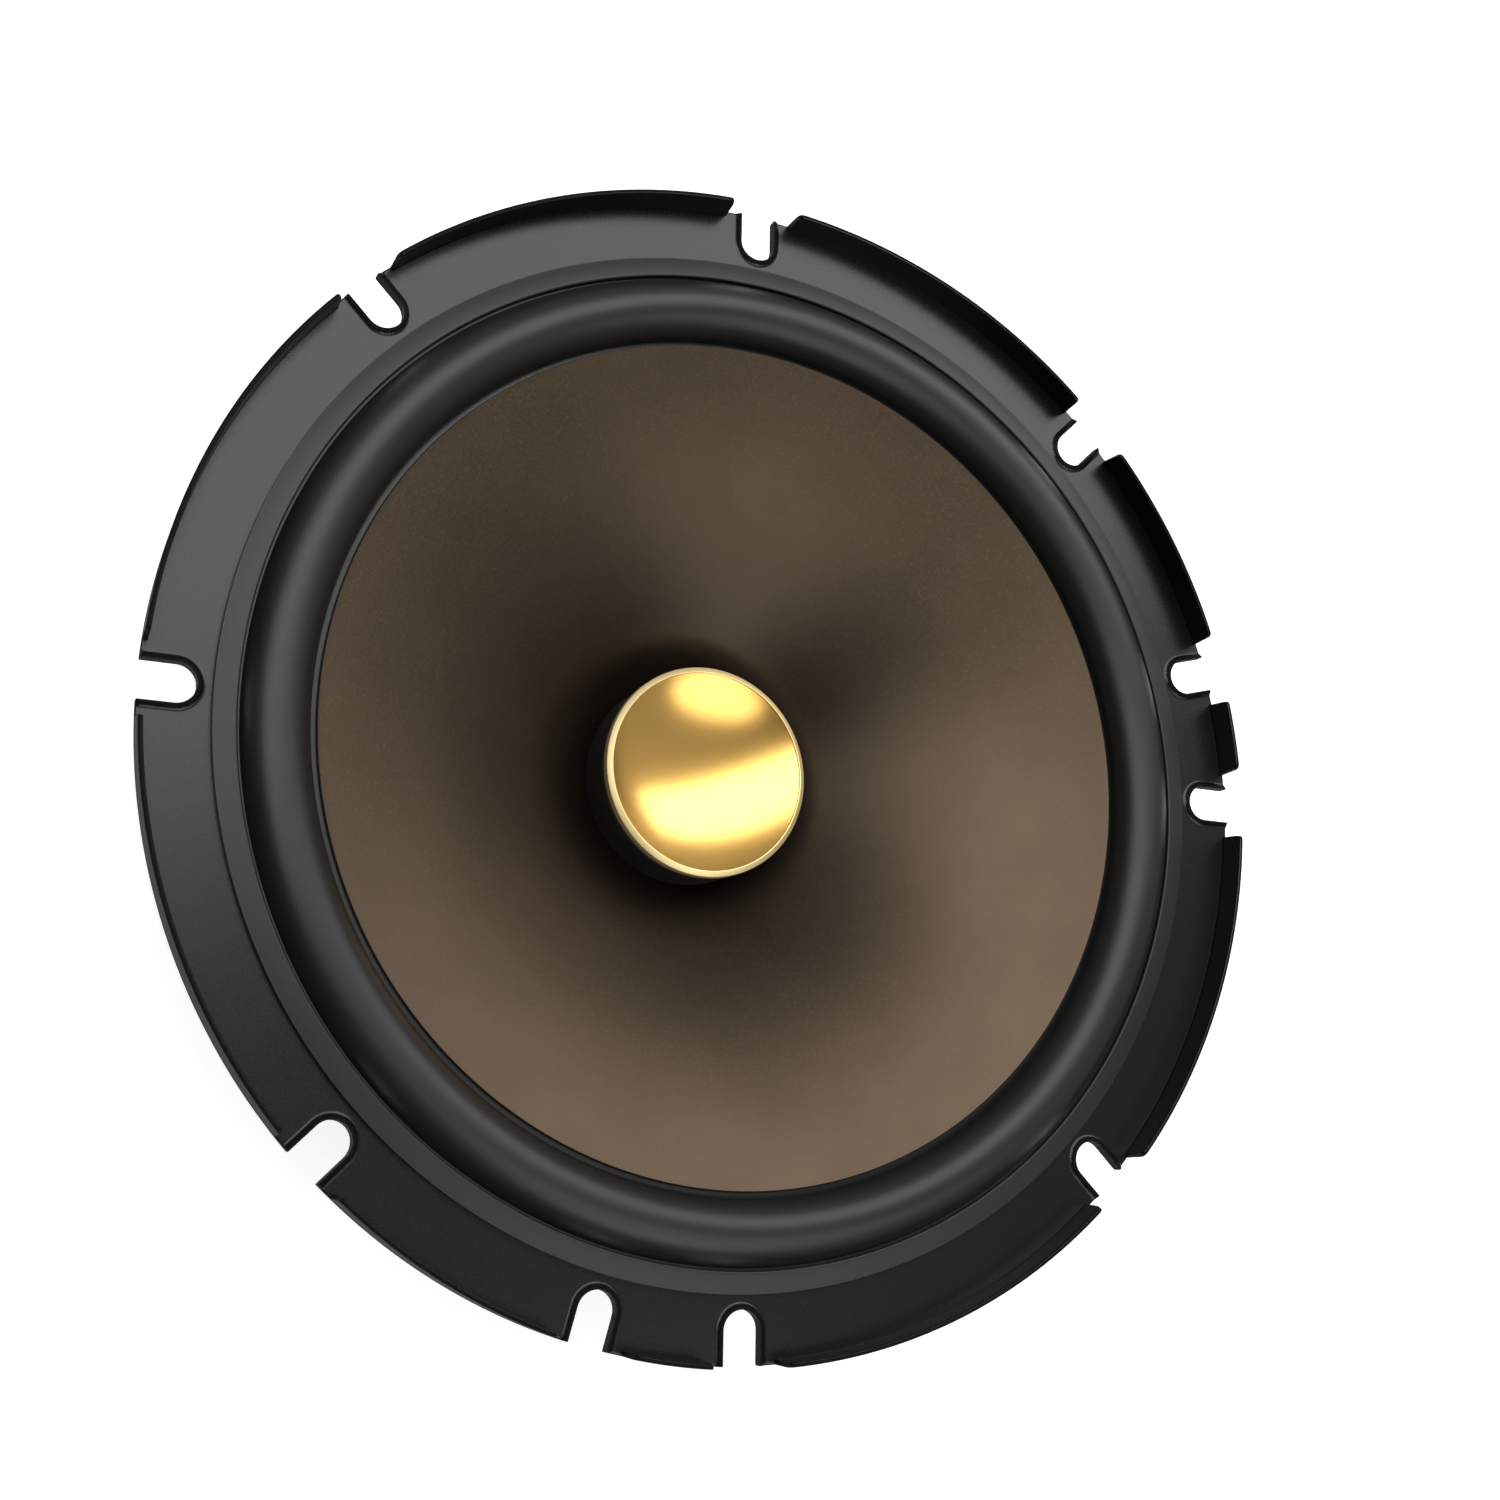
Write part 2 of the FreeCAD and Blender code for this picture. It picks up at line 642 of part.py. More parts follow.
def lead(side):
    """A tinsel lead: two tangent arcs from the lug to the coil joint, drooping in the middle."""
    start = FreeCAD.Vector(side * LEAD_START[0], LEAD_START[1], LEAD_START[2])
    end = FreeCAD.Vector(side * LEAD_END[0], LEAD_END[1], LEAD_END[2])
    run = FreeCAD.Vector(end.x - start.x, end.y - start.y, 0)
    low_point = start + run * 0.62 + FreeCAD.Vector(0, 0, -LEAD_DIP)
    first = Part.Arc(start, start + run * 0.28 + FreeCAD.Vector(0, 0, -0.58 * LEAD_DIP), low_point).toShape()
    turn_dir = first.tangentAt(first.LastParameter)
    chord = end - low_point
    normal = turn_dir.cross(chord)
    across = normal.cross(turn_dir).normalize()
    radius = chord.dot(chord) / (2 * chord.dot(across))
    centre = low_point + across * radius
    middle = (low_point + end) * 0.5 - centre
    second = Part.Arc(low_point, centre + middle.normalize() * abs(radius), end).toShape()
    path = Part.Wire([first, second])
    tangent = first.tangentAt(first.FirstParameter)
    section = Part.Wire([Part.makeCircle(LEAD_R, start, tangent)])
    pipe = path.makePipeShell([section], True, False)
    lug = block(start.x - 2, start.x + 2, TAB_IN_Y, TAB_IN_Y + 2, start.z - 2, start.z + 2)
    return pipe.cut(lug).cut(bead(side))


def main():
    os.makedirs("parts", exist_ok=True)
    save("basket", basket())
    save("gasket_ring", gasket_ring())
    save("surround", surround())
    save("spider", spider())
    save("cone", cone())
    save("dust_cap", dust_cap())
    save("cap_collar", cap_collar())
    save("voice_coil_former", voice_coil_former())
    save("former_wrap", former_wrap())
    save("voice_coil_winding", voice_coil_winding())
    save("top_plate", top_plate())
    save("magnet", ring(MAGNET_BORE, MAGNET_R, YOKE_TOP, YOKE_TOP + MAGNET_T))
    save("back_plate", back_plate())
    save("pole_piece", pole_piece())
    save("pole_sleeve", pole_sleeve())
    save("vent_screen", vent_screen())
    save("magnet_cover", magnet_cover())
    save("motor_rivets", motor_rivets())
    save("panel_rivets", panel_rivets())
    save("terminal_panel", terminal_panel())
    for name, (x, width) in TABS.items():
        save(name, terminal(x, width))
    for name, side in LEADS.items():
        save(name, lead(side))
    save("coil_joints", Part.makeCompound([bead(-1), bead(1)]))


main()
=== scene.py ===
import math

import bmesh
import bpy
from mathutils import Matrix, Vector
from mathutils.geometry import interpolate_bezier


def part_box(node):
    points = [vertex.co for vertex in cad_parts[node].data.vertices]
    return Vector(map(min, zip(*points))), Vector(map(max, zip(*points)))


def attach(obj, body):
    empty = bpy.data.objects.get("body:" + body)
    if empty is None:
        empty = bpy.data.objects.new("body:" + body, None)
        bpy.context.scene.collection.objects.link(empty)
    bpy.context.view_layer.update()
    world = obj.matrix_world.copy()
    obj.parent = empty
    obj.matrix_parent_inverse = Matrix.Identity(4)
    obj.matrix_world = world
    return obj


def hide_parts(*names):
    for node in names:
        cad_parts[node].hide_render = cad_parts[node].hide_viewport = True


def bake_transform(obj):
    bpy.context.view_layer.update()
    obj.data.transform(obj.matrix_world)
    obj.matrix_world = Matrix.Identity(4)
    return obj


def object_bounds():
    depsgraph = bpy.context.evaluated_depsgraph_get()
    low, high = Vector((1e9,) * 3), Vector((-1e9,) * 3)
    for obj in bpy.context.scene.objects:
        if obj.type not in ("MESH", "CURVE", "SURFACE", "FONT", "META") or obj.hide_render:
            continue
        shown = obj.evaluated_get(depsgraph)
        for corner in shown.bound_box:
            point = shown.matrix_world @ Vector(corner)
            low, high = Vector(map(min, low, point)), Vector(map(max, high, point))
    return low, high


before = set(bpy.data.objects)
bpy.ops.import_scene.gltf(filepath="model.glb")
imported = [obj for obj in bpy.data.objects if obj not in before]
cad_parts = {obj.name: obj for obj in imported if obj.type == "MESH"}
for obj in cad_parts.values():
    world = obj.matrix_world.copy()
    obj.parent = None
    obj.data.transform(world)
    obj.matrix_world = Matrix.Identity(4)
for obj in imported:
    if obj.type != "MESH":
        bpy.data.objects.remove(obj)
cad_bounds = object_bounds()

MM = 0.001
AXIS = Vector((0, 0, 1))
AROUND = 288                   # steps round a turned piece
ON_AXIS = 1e-6                 # a radius below this is a point on the axis, in millimetres
CORNER_STEPS = 4               # steps round one rounded corner of a profile
MERGE = 2e-6                   # vertices closer than this become one, in metres
FLAT = math.radians(0.4)       # faces that meet at less than this are one flat face
EDGE_ANGLE = 28                # edges sharper than this, in degrees, are softened


# ---------------------------------------------------------------- sizes read from the frame

def node_top(node):
    """Highest point of a CAD node, in millimetres."""
    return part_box(node)[1].z / MM


def node_low(node):
    """Lowest point of a CAD node, in millimetres."""
    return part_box(node)[0].z / MM


def node_radius(node):
    """Largest radius of a CAD node about the speaker's axis, in millimetres."""
    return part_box(node)[1].x / MM


# ---------------------------------------------------------------- profiles and turned pieces

def arc(start, via, end, steps):
    """Points of the arc through three (r, z) points."""
    ax, ay = start
    bx, by = via
    cx, cy = end
    d = 2 * (ax * (by - cy) + bx * (cy - ay) + cx * (ay - by))
    a2, b2, c2 = ax * ax + ay * ay, bx * bx + by * by, cx * cx + cy * cy
    ux = (a2 * (by - cy) + b2 * (cy - ay) + c2 * (ay - by)) / d
    uy = (a2 * (cx - bx) + b2 * (ax - cx) + c2 * (bx - ax)) / d
    radius = math.hypot(ax - ux, ay - uy)
    first = math.atan2(ay - uy, ax - ux)
    middle = math.atan2(by - uy, bx - ux)
    last = math.atan2(cy - uy, cx - ux)
    sweep = (last - first) % (2 * math.pi)
    if (middle - first) % (2 * math.pi) > sweep:
        sweep -= 2 * math.pi
    return [
        (ux + radius * math.cos(first + sweep * k / steps), uy + radius * math.sin(first + sweep * k / steps))
        for k in range(steps + 1)
    ]


def rounded(points, radius):
    """A closed profile with each corner turned into a small curve."""
    result = []
    most = 0.45                # largest share of a side that one corner may take
    count = len(points)
    for k, corner in enumerate(points):
        p = Vector(corner)
        before = Vector(points[k - 1]) - p
        after = Vector(points[(k + 1) % count]) - p
        reach = min(radius, before.length * most, after.length * most)
        a = p + before.normalized() * reach
        b = p + after.normalized() * reach
        for j in range(CORNER_STEPS + 1):
            t = j / CORNER_STEPS
            q = a * (1 - t) ** 2 + p * 2 * t * (1 - t) + b * t ** 2
            result.append((q.x, q.y))
    return result


def smooth(mesh, angle=32):
    """Smooth shading with hard edges only where faces meet sharply."""
    mesh.shade_smooth()
    mesh.set_sharp_from_angle(angle=math.radians(angle))


def new_object(name, mesh):
    """Links a mesh to the scene as an object of that name."""
    piece = bpy.data.objects.new(name, mesh)
    bpy.context.scene.collection.objects.link(piece)
    return piece


def spot_at(r, angle, z):
    """The point at a radius, an angle and a height in millimetres, in the scene's metres."""
    return r * math.cos(angle) * MM, r * math.sin(angle) * MM, z * MM


def bridge(bm, row, after):
    """A band of quads between two closed rows of vertices."""
    count = len(row)
    for k in range(count):
        n = (k + 1) % count
        bm.faces.new((row[k], row[n], after[n], after[k]))


def written(bm, name):
    """Writes a working mesh out as a new mesh and frees it."""
    mesh = bpy.data.meshes.new(name)
    bm.to_mesh(mesh)
    bm.free()
    return mesh


def turned(name, profile, around=AROUND):
    """A closed (r, z) profile, in millimetres, swept round the axis.

    A point on the axis becomes one vertex.
    """
    bm = bmesh.new()
    rows = []
    for r, z in profile:
        if r < ON_AXIS:
            rows.append([bm.verts.new((0, 0, z * MM))] * around)
            continue
        rows.append([bm.verts.new(spot_at(r, 2 * math.pi * k / around, z)) for k in range(around)])
    for i, row in enumerate(rows):
        after = rows[(i + 1) % len(rows)]
        for k in range(around):
            loop = [row[k], row[(k + 1) % around], after[(k + 1) % around], after[k]]
            corners = list(dict.fromkeys(loop))
            if len(corners) > 2:
                bm.faces.new(corners)
    bmesh.ops.recalc_face_normals(bm, faces=bm.faces)
    mesh = written(bm, name)
    smooth(mesh)
    return new_object(name, mesh)


def soften(piece, bevel):
    """Bevels the sharp edges of a piece, by a width in millimetres."""
    softener = piece.modifiers.new("soft_edges", "BEVEL")
    softener.width = bevel * MM
    softener.segments = 3
    softener.limit_method = "ANGLE"
    softener.angle_limit = math.radians(EDGE_ANGLE)
    softener.use_clamp_overlap = True


def weigh_normals(piece):
    """Lets the large faces of a piece set its shading."""
    weigher = piece.modifiers.new("weighted", "WEIGHTED_NORMAL")
    weigher.mode = "FACE_AREA"
    weigher.weight = 70
    weigher.keep_sharp = True


def cad_copy(name, node, seam=None):
    """A copy of a CAD node with its flat faces joined up, cut off above the seam's height if there is one."""
    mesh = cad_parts[node].data.copy()
    mesh.name = name
    bm = bmesh.new()
    bm.from_mesh(mesh)
    bmesh.ops.remove_doubles(bm, verts=bm.verts, dist=MERGE)
    if seam is not None:
        parts = bm.verts[:] + bm.edges[:] + bm.faces[:]
        place = Vector((0, 0, seam * MM))
        bmesh.ops.bisect_plane(bm, geom=parts, dist=1e-7, plane_co=place, plane_no=AXIS, clear_outer=True)
    bmesh.ops.dissolve_limit(bm, angle_limit=FLAT, verts=bm.verts, edges=bm.edges)
    bm.to_mesh(mesh)
    bm.free()
    mesh.materials.clear()
    return new_object(name, mesh)


def refined(name, node, bevel):
    """A copy of a CAD node with its edges softly bevelled."""
    piece = cad_copy(name, node)
    smooth(piece.data, EDGE_ANGLE)
    soften(piece, bevel)
    weigh_normals(piece)
    return piece


def join(name, pieces):
    """Several mesh objects as one."""
    bm = bmesh.new()
    for piece in pieces:
        bm.from_mesh(piece.data)
    mesh = written(bm, name)
    for piece in pieces:
        bpy.data.objects.remove(piece)
    smooth(mesh)
    return new_object(name, mesh)


def wire(name, path, radius):
    """A round tube along a list of points, in millimetres."""
    curve = bpy.data.curves.new(name, "CURVE")
    curve.dimensions = "3D"
    curve.bevel_depth = radius * MM
    curve.bevel_resolution = 2
    curve.use_fill_caps = True
    spline = curve.splines.new("POLY")
    spline.points.add(len(path) - 1)
    for k, p in enumerate(path):
        spline.points[k].co = (p[0] * MM, p[1] * MM, p[2] * MM, 1)
    holder = bpy.data.objects.new(name + "_curve", curve)
    mesh = bpy.data.meshes.new_from_object(holder)
    bpy.data.objects.remove(holder)
    bpy.data.curves.remove(curve)
    smooth(mesh)
    return new_object(name, mesh)


# ---------------------------------------------------------------- materials

NOISE_RANGE = (0.3, 0.7)       # where nearly all of a noise texture's values lie


def nodes_of(name):
    """A new material, its node tree and its Principled shader."""
    material = bpy.data.materials.new(name)
    material.use_nodes = True
    tree = material.node_tree
    return material, tree, tree.nodes["Principled BSDF"]


def noise(tree, scale, detail=3.0, rough=0.55):
    """A noise texture on the piece's own coordinates. Scale is in waves per metre."""
    place = tree.nodes.new("ShaderNodeTexCoord")
    texture = tree.nodes.new("ShaderNodeTexNoise")
    texture.inputs["Scale"].default_value = scale
    texture.inputs["Detail"].default_value = detail
    texture.inputs["Roughness"].default_value = rough
    tree.links.new(place.outputs["Object"], texture.inputs["Vector"])
    return texture.outputs["Fac"]


def ramp(tree, source, low, high, dark, light):
    """A colour ramp from dark at low to light at high."""
    node = tree.nodes.new("ShaderNodeValToRGB")
    node.color_ramp.elements[0].position = low
    node.color_ramp.elements[1].position = high
    node.color_ramp.elements[0].color = (*dark, 1)
    node.color_ramp.elements[1].color = (*light, 1)
    tree.links.new(source, node.inputs["Fac"])
    return node.outputs["Color"]


def mottled(tree, source, dark, light):
    """A colour that drifts from dark to light with a noise, over the noise's usual range."""
    return ramp(tree, source, *NOISE_RANGE, dark, light)


def remap(tree, source, near, far, low, high):
    """A value mapped from the range near to far onto the range low to high."""
    node = tree.nodes.new("ShaderNodeMapRange")
    node.inputs["From Min"].default_value = near
    node.inputs["From Max"].default_value = far
    node.inputs["To Min"].default_value = low
    node.inputs["To Max"].default_value = high
    tree.links.new(source, node.inputs["Value"])
    return node.outputs["Result"]


def spread(tree, source, low, high):
    """A noise's usual range mapped onto low to high."""
    return remap(tree, source, *NOISE_RANGE, low, high)


def bump(tree, source, height, under=None):
    """A bump of that height in millimetres, over another bump if one is given."""
    node = tree.nodes.new("ShaderNodeBump")
    node.inputs["Distance"].default_value = height * MM
    node.inputs["Strength"].default_value = 1.0
    tree.links.new(source, node.inputs["Height"])
    if under:
        tree.links.new(under, node.inputs["Normal"])
    return node.outputs["Normal"]


def radial(tree, near, far, low, high):
    """A value that goes from low at one distance from the axis to high at another, in millimetres."""
    place = tree.nodes.new("ShaderNodeTexCoord")
    flat = tree.nodes.new("ShaderNodeVectorMath")
    flat.operation = "MULTIPLY"
    flat.inputs[1].default_value = (1, 1, 0)
    tree.links.new(place.outputs["Object"], flat.inputs[0])
    distance = tree.nodes.new("ShaderNodeVectorMath")
    distance.operation = "LENGTH"
    tree.links.new(flat.outputs["Vector"], distance.inputs[0])
    return remap(tree, distance.outputs["Value"], near * MM, far * MM, low, high)


def tint(tree, first, second):
    """Two colours, or a colour and a value, multiplied."""
    mix = tree.nodes.new("ShaderNodeMix")
    mix.data_type = "RGBA"
    mix.blend_type = "MULTIPLY"
    mix.inputs["Factor"].default_value = 1.0
    tree.links.new(first, mix.inputs["A"])
    tree.links.new(second, mix.inputs["B"])
    return mix.outputs["Result"]


def surface(name, dark, light, rough, metal=0.0, grain=2500.0, height=0.01, specular=0.5):
    """A finish with a fine grain, a slow change of tone, and roughness that varies a little."""
    material, tree, shader = nodes_of(name)
    fine = noise(tree, grain, 4.0)
    slow = noise(tree, 60.0, 2.0)
    tree.links.new(mottled(tree, slow, dark, light), shader.inputs["Base Color"])
    tree.links.new(spread(tree, fine, *rough), shader.inputs["Roughness"])
    tree.links.new(bump(tree, fine, height), shader.inputs["Normal"])
    shader.inputs["Metallic"].default_value = metal
    shader.inputs["Specular IOR Level"].default_value = specular
    return material


def paint_material():
    """Satin dark grey paint on pressed steel, with the faint orange peel of a sprayed coat."""
    material, tree, shader = nodes_of("frame_paint")
    fine = noise(tree, 5200, 3.0)
    peel = noise(tree, 700, 2.0)
    slow = noise(tree, 45, 2.0)
    colour = mottled(tree, slow, (0.0014, 0.0014, 0.0015), (0.0022, 0.0022, 0.0024))
    tree.links.new(colour, shader.inputs["Base Color"])
    tree.links.new(spread(tree, fine, 0.25, 0.31), shader.inputs["Roughness"])
    low = bump(tree, peel, 0.004)
    tree.links.new(bump(tree, fine, 0.0018, low), shader.inputs["Normal"])
    shader.inputs["Specular IOR Level"].default_value = 0.39
    return material


def cone_material():
    """Brown mica-filled diaphragm: fine bright flakes in a satin brown body, with painted shade that darkens
    it towards the neck.
    """
    material, tree, shader = nodes_of("cone_fibre")
    flakes = noise(tree, 2600, 6.0, 0.7)
    slow = noise(tree, 70, 3.0)
    body = mottled(tree, slow, (0.072, 0.050, 0.032), (0.082, 0.057, 0.037))
    shine = ramp(tree, flakes, 0.52, 0.72, (0.9, 0.9, 0.9), (1.35, 1.3, 1.22))
    # painted shade: the base colour falls to half towards the neck, where the deep cone is in shadow
    painted_neck_shade = radial(tree, 18.0, 44.0, 0.5, 1.0)
    tree.links.new(tint(tree, tint(tree, body, shine), painted_neck_shade), shader.inputs["Base Color"])
    tree.links.new(spread(tree, flakes, 0.36, 0.47), shader.inputs["Roughness"])
    tree.links.new(bump(tree, flakes, 0.004), shader.inputs["Normal"])
    shader.inputs["Metallic"].default_value = 0.85
    return material


def gold_material():
    """Gold anodising: polished in the dish and brushed on the bevel, with a paler gold on the bevel as a
    painted highlight.
    """
    material, tree, shader = nodes_of("cap_gold")
    fine = noise(tree, 6000, 4.0)
    slow = noise(tree, 60, 2.0)
    edge = node_radius("dust_cap") - 0.9
    # painted highlight: the bevel's base colour is a paler gold than the dish
    rim_highlight_mask = radial(tree, edge, edge + 0.1, 0.0, 1.0)
    gold = ramp(tree, rim_highlight_mask, 0.0, 1.0, (0.93, 0.56, 0.15), (0.98, 0.80, 0.42))
    mottle = mottled(tree, slow, (0.95, 0.95, 0.95), (1.0, 1.0, 1.0))
    tree.links.new(tint(tree, gold, mottle), shader.inputs["Base Color"])
    grain = tree.nodes.new("ShaderNodeMath")
    grain.operation = "ADD"
    tree.links.new(spread(tree, fine, 0.20, 0.26), grain.inputs[0])
    tree.links.new(radial(tree, edge, edge + 0.1, 0.0, 0.3), grain.inputs[1])
    tree.links.new(grain.outputs["Value"], shader.inputs["Roughness"])
    tree.links.new(bump(tree, fine, 0.0006), shader.inputs["Normal"])
    shader.inputs["Metallic"].default_value = 1.0
    return material


def spider_material():
    """Resin-dipped woven cloth."""
    material, tree, shader = nodes_of("spider_cloth")
    place = tree.nodes.new("ShaderNodeTexCoord")
    weave = []
    for direction in ("X", "Y"):
        wave = tree.nodes.new("ShaderNodeTexWave")
        wave.wave_type = "BANDS"
        wave.bands_direction = direction
        wave.inputs["Scale"].default_value = 420.0
        wave.inputs["Distortion"].default_value = 0.4
        tree.links.new(place.outputs["Object"], wave.inputs["Vector"])
        weave.append(wave.outputs["Fac"])
    mix = tree.nodes.new("ShaderNodeMath")
    mix.operation = "MAXIMUM"
    tree.links.new(weave[0], mix.inputs[0])
    tree.links.new(weave[1], mix.inputs[1])
    colour = ramp(tree, mix.outputs["Value"], 0.3, 0.95, (0.17, 0.085, 0.02), (0.5, 0.3, 0.1))
    tree.links.new(colour, shader.inputs["Base Color"])
    tree.links.new(bump(tree, mix.outputs["Value"], 0.08), shader.inputs["Normal"])
    shader.inputs["Roughness"].default_value = 0.62
    return material


PAINT = paint_material()
CONE = cone_material()
SPIDER = spider_material()
GASKET = surface(
    "gasket_rubber", (0.0092, 0.0094, 0.0098), (0.0108, 0.0110, 0.0115),
    (0.38, 0.46), grain=4200, height=0.003, specular=0.38,
)
RUBBER = surface(
    "surround_rubber", (0.0062, 0.0065, 0.0070), (0.0076, 0.0080, 0.0085),
    (0.38, 0.46), grain=3800, height=0.002, specular=0.42,
)
GOLD = gold_material()
# painted shade: a dull, near-black finish for the slot edges and the rim's top and outer side
SHADE_EDGE_FINISH = surface(
    "frame_edge_painted_shade", (0.0018, 0.0018, 0.0019), (0.0026, 0.0026, 0.0028),
    (0.6, 0.75), height=0.004, specular=0.1,
)
BLACK = surface(
    "black_plastic", (0.006, 0.006, 0.006), (0.010, 0.010, 0.010),
    (0.5, 0.65), grain=3000, height=0.01,
)
COVER = surface(
    "cover_rubber", (0.016, 0.016, 0.017), (0.024, 0.024, 0.025),
    (0.55, 0.72), grain=2200, height=0.02,
)
STEEL = surface(
    "zinc_steel", (0.50, 0.50, 0.47), (0.62, 0.61, 0.57),
    (0.28, 0.42), 1.0, grain=1500, height=0.004,
)
FERRITE = surface(
    "ferrite", (0.045, 0.045, 0.048), (0.075, 0.075, 0.08),
    (0.5, 0.7), grain=1800, height=0.02,
)
COPPER = surface(
    "copper_wire", (0.62, 0.26, 0.11), (0.78, 0.36, 0.17),
    (0.22, 0.34), 1.0, grain=2500, height=0.004,
)
FOIL = surface(
    "former_foil", (0.55, 0.55, 0.55), (0.68, 0.68, 0.68),
    (0.25, 0.38), 1.0, grain=1800, height=0.006,
)
PAPER = surface(
    "wrap_paper", (0.26, 0.15, 0.07), (0.36, 0.22, 0.11),
    (0.7, 0.85), grain=2800, height=0.02,
)
RIVET = surface(
    "rivet_steel", (0.42, 0.42, 0.41), (0.55, 0.55, 0.54),
    (0.3, 0.45), 1.0, grain=2600, height=0.004,
)
BOARD = surface(
    "panel_board", (0.050, 0.026, 0.012), (0.085, 0.046, 0.022),
    (0.45, 0.6), grain=1600, height=0.012,
)
BRASS = surface(
    "terminal_brass", (0.72, 0.52, 0.22), (0.82, 0.62, 0.30),
    (0.2, 0.32), 1.0, grain=2400, height=0.003,
)
BRAID = surface(
    "lead_braid", (0.50, 0.27, 0.13), (0.70, 0.42, 0.22),
    (0.3, 0.45), 1.0, grain=3500, height=0.01,
)
SOLDER = surface(
    "solder", (0.45, 0.45, 0.46), (0.60, 0.60, 0.62),
    (0.25, 0.4), 1.0, grain=1800, height=0.01,
)
SCREEN = surface(
    "screen_metal", (0.30, 0.30, 0.30), (0.42, 0.42, 0.42),
    (0.3, 0.45), 1.0, grain=2600, height=0.003,
)


def finish_piece(piece, material, slot, body, *nodes):
    """Gives a new piece its material and its body, and hides the CAD nodes that it stands for. The slot
    argument is not used.
    """
    piece.data.materials.clear()
    piece.data.materials.append(material)
    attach(piece, body)
    if nodes:
        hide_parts(*nodes)


def bend_radially(piece, fixed_radius, moving_radius):
    """Bakes the piece's transform into its mesh; it does not bend the piece. The fixed and moving radii are
    not used.
    """
    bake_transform(piece)


# ---------------------------------------------------------------- the diaphragm and its cap

CONE_R = node_radius("cone")
CONE_EDGE_Z = node_top("cone")
CONE_T = 0.7
GLUE = 0.05                    # glue line between two pieces
NECK_R = 13.0
NECK_Z = -25.6
NECK_T = 0.4
CONE_MID = (38.0, -8.2)
CONE_STEPS = 96


def cone_line(drop=0.0):
    """The cone's front face from neck to edge, lowered by a distance."""
    neck = (NECK_R, NECK_Z - drop)
    middle = (CONE_MID[0], CONE_MID[1] - drop)
    return arc(neck, middle, (CONE_R, CONE_EDGE_Z - drop), CONE_STEPS)


def cone_height(r):
    """Height of the cone's front face at a radius."""
    line = cone_line()
    for (r0, z0), (r1, z1) in zip(line, line[1:]):
        if r0 <= r <= r1:
            return z0 + (z1 - z0) * (r - r0) / (r1 - r0)
    return CONE_EDGE_Z


def build_cone():
    """Front face, rounded edge, back face and the upright neck."""
    front = cone_line()
    back = [p for p in cone_line(CONE_T) if p[0] > NECK_R + 0.6]
    corner, drop = 0.12, 0.02
    front[-1] = (CONE_R - corner, CONE_EDGE_Z - drop)
    back[-1] = (CONE_R - corner, CONE_EDGE_Z - CONE_T - drop)
    edge = [
        (CONE_R - drop, CONE_EDGE_Z - 0.10),
        (CONE_R, CONE_EDGE_Z - CONE_T / 2),
        (CONE_R - drop, CONE_EDGE_Z - CONE_T + 0.1),
    ]
    low = node_low("cone")
    neck = [(NECK_R + NECK_T, low), (NECK_R, low)]
    piece = turned("cone_diaphragm", front + edge + back[::-1] + neck)
    finish_piece(piece, CONE, "cone_fibre", "diaphragm", "cone")


CAP_R = node_radius("dust_cap")
CAP_Z = node_top("dust_cap")
CAP_DISH = 4.0
CAP_T = 0.6
CAP_SKIRT = 1.8                # height of the cap's skirt
CAP_SEAT = 1.1                 # underside of the cap below its rim
COLLAR_T = 1.2                 # wall of the black ring under the cap


def build_cap():
    """Gold cap: a polished dish inside a fine flat bevel, and a short skirt."""
    lip = CAP_R - 0.95
    lip_drop = 0.2
    centre = CAP_Z - CAP_DISH
    depth = CAP_DISH - lip_drop
    radius = (lip ** 2 + depth ** 2) / (2 * depth)
    dish = []
    steps = 48
    for k in range(steps + 1):
        r = lip * k / steps
        dish.append((r, centre + radius - math.sqrt(radius ** 2 - r ** 2)))
    bead = arc((lip, CAP_Z - lip_drop), (lip + 0.06, CAP_Z - 0.05), (lip + 0.2, CAP_Z), 5)
    bevel = [(CAP_R - 0.14, CAP_Z - 0.34), (CAP_R - 0.03, CAP_Z - 0.44)]
    low = CAP_Z - CAP_SKIRT
    side = [(CAP_R, CAP_Z - 0.55), (CAP_R, low + 0.1), (CAP_R - 0.1, low), (CAP_R - CAP_T, low)]
    inside = [(CAP_R - CAP_T, CAP_Z - CAP_SEAT)]
    for r, z in reversed(dish[::6]):
        inside.append((min(r, lip - 0.8), z - 0.5))
    piece = turned("centre_cap", dish + bead[1:] + bevel + side + inside)
    finish_piece(piece, GOLD, "cap_gold", "diaphragm", "dust_cap")


def build_collar():
    """Black ring under the cap, with a step and a foot on the cone."""
    outer = CAP_R - CAP_T
    inner = outer - COLLAR_T
    foot_r = outer + 0.4
    lift = 0.02
    profile = [
        (inner, cone_height(inner) + lift),
        (inner, CAP_Z - 1.2),
        (outer - 0.05, CAP_Z - 1.2),
        (outer - 0.05, CAP_Z - 2.6),
        (foot_r - 0.02, CAP_Z - 3.2),
        (foot_r - 0.02, cone_height(foot_r) + lift),
    ]
    piece = turned("cap_collar_ring", rounded(profile, 0.15))
    finish_piece(piece, BLACK, "black_plastic", "diaphragm", "cap_collar")


# ---------------------------------------------------------------- the suspension

GASKET_R = node_radius("gasket_ring")
GASKET_TOP = node_top("gasket_ring")
FACE_Z = node_low("gasket_ring")
ROLL_OUT_R = 69.6
ROLL_IN_R = 61.2
RUBBER_T = 0.7
ROLL_TOP = node_top("surround")
LAND_TOP = CONE_EDGE_Z - CONE_T - GLUE
LAND_IN_R = 57.4
ROLL_STEPS = 48
GASKET_STEP = 1.0              # height of the gasket's outer step
GASKET_IN_R = ROLL_OUT_R + 0.4
GASKET_FOOT_R = GASKET_R - 0.4
GASKET_MID_R = 71.7            # near the middle of the gasket's sloped face


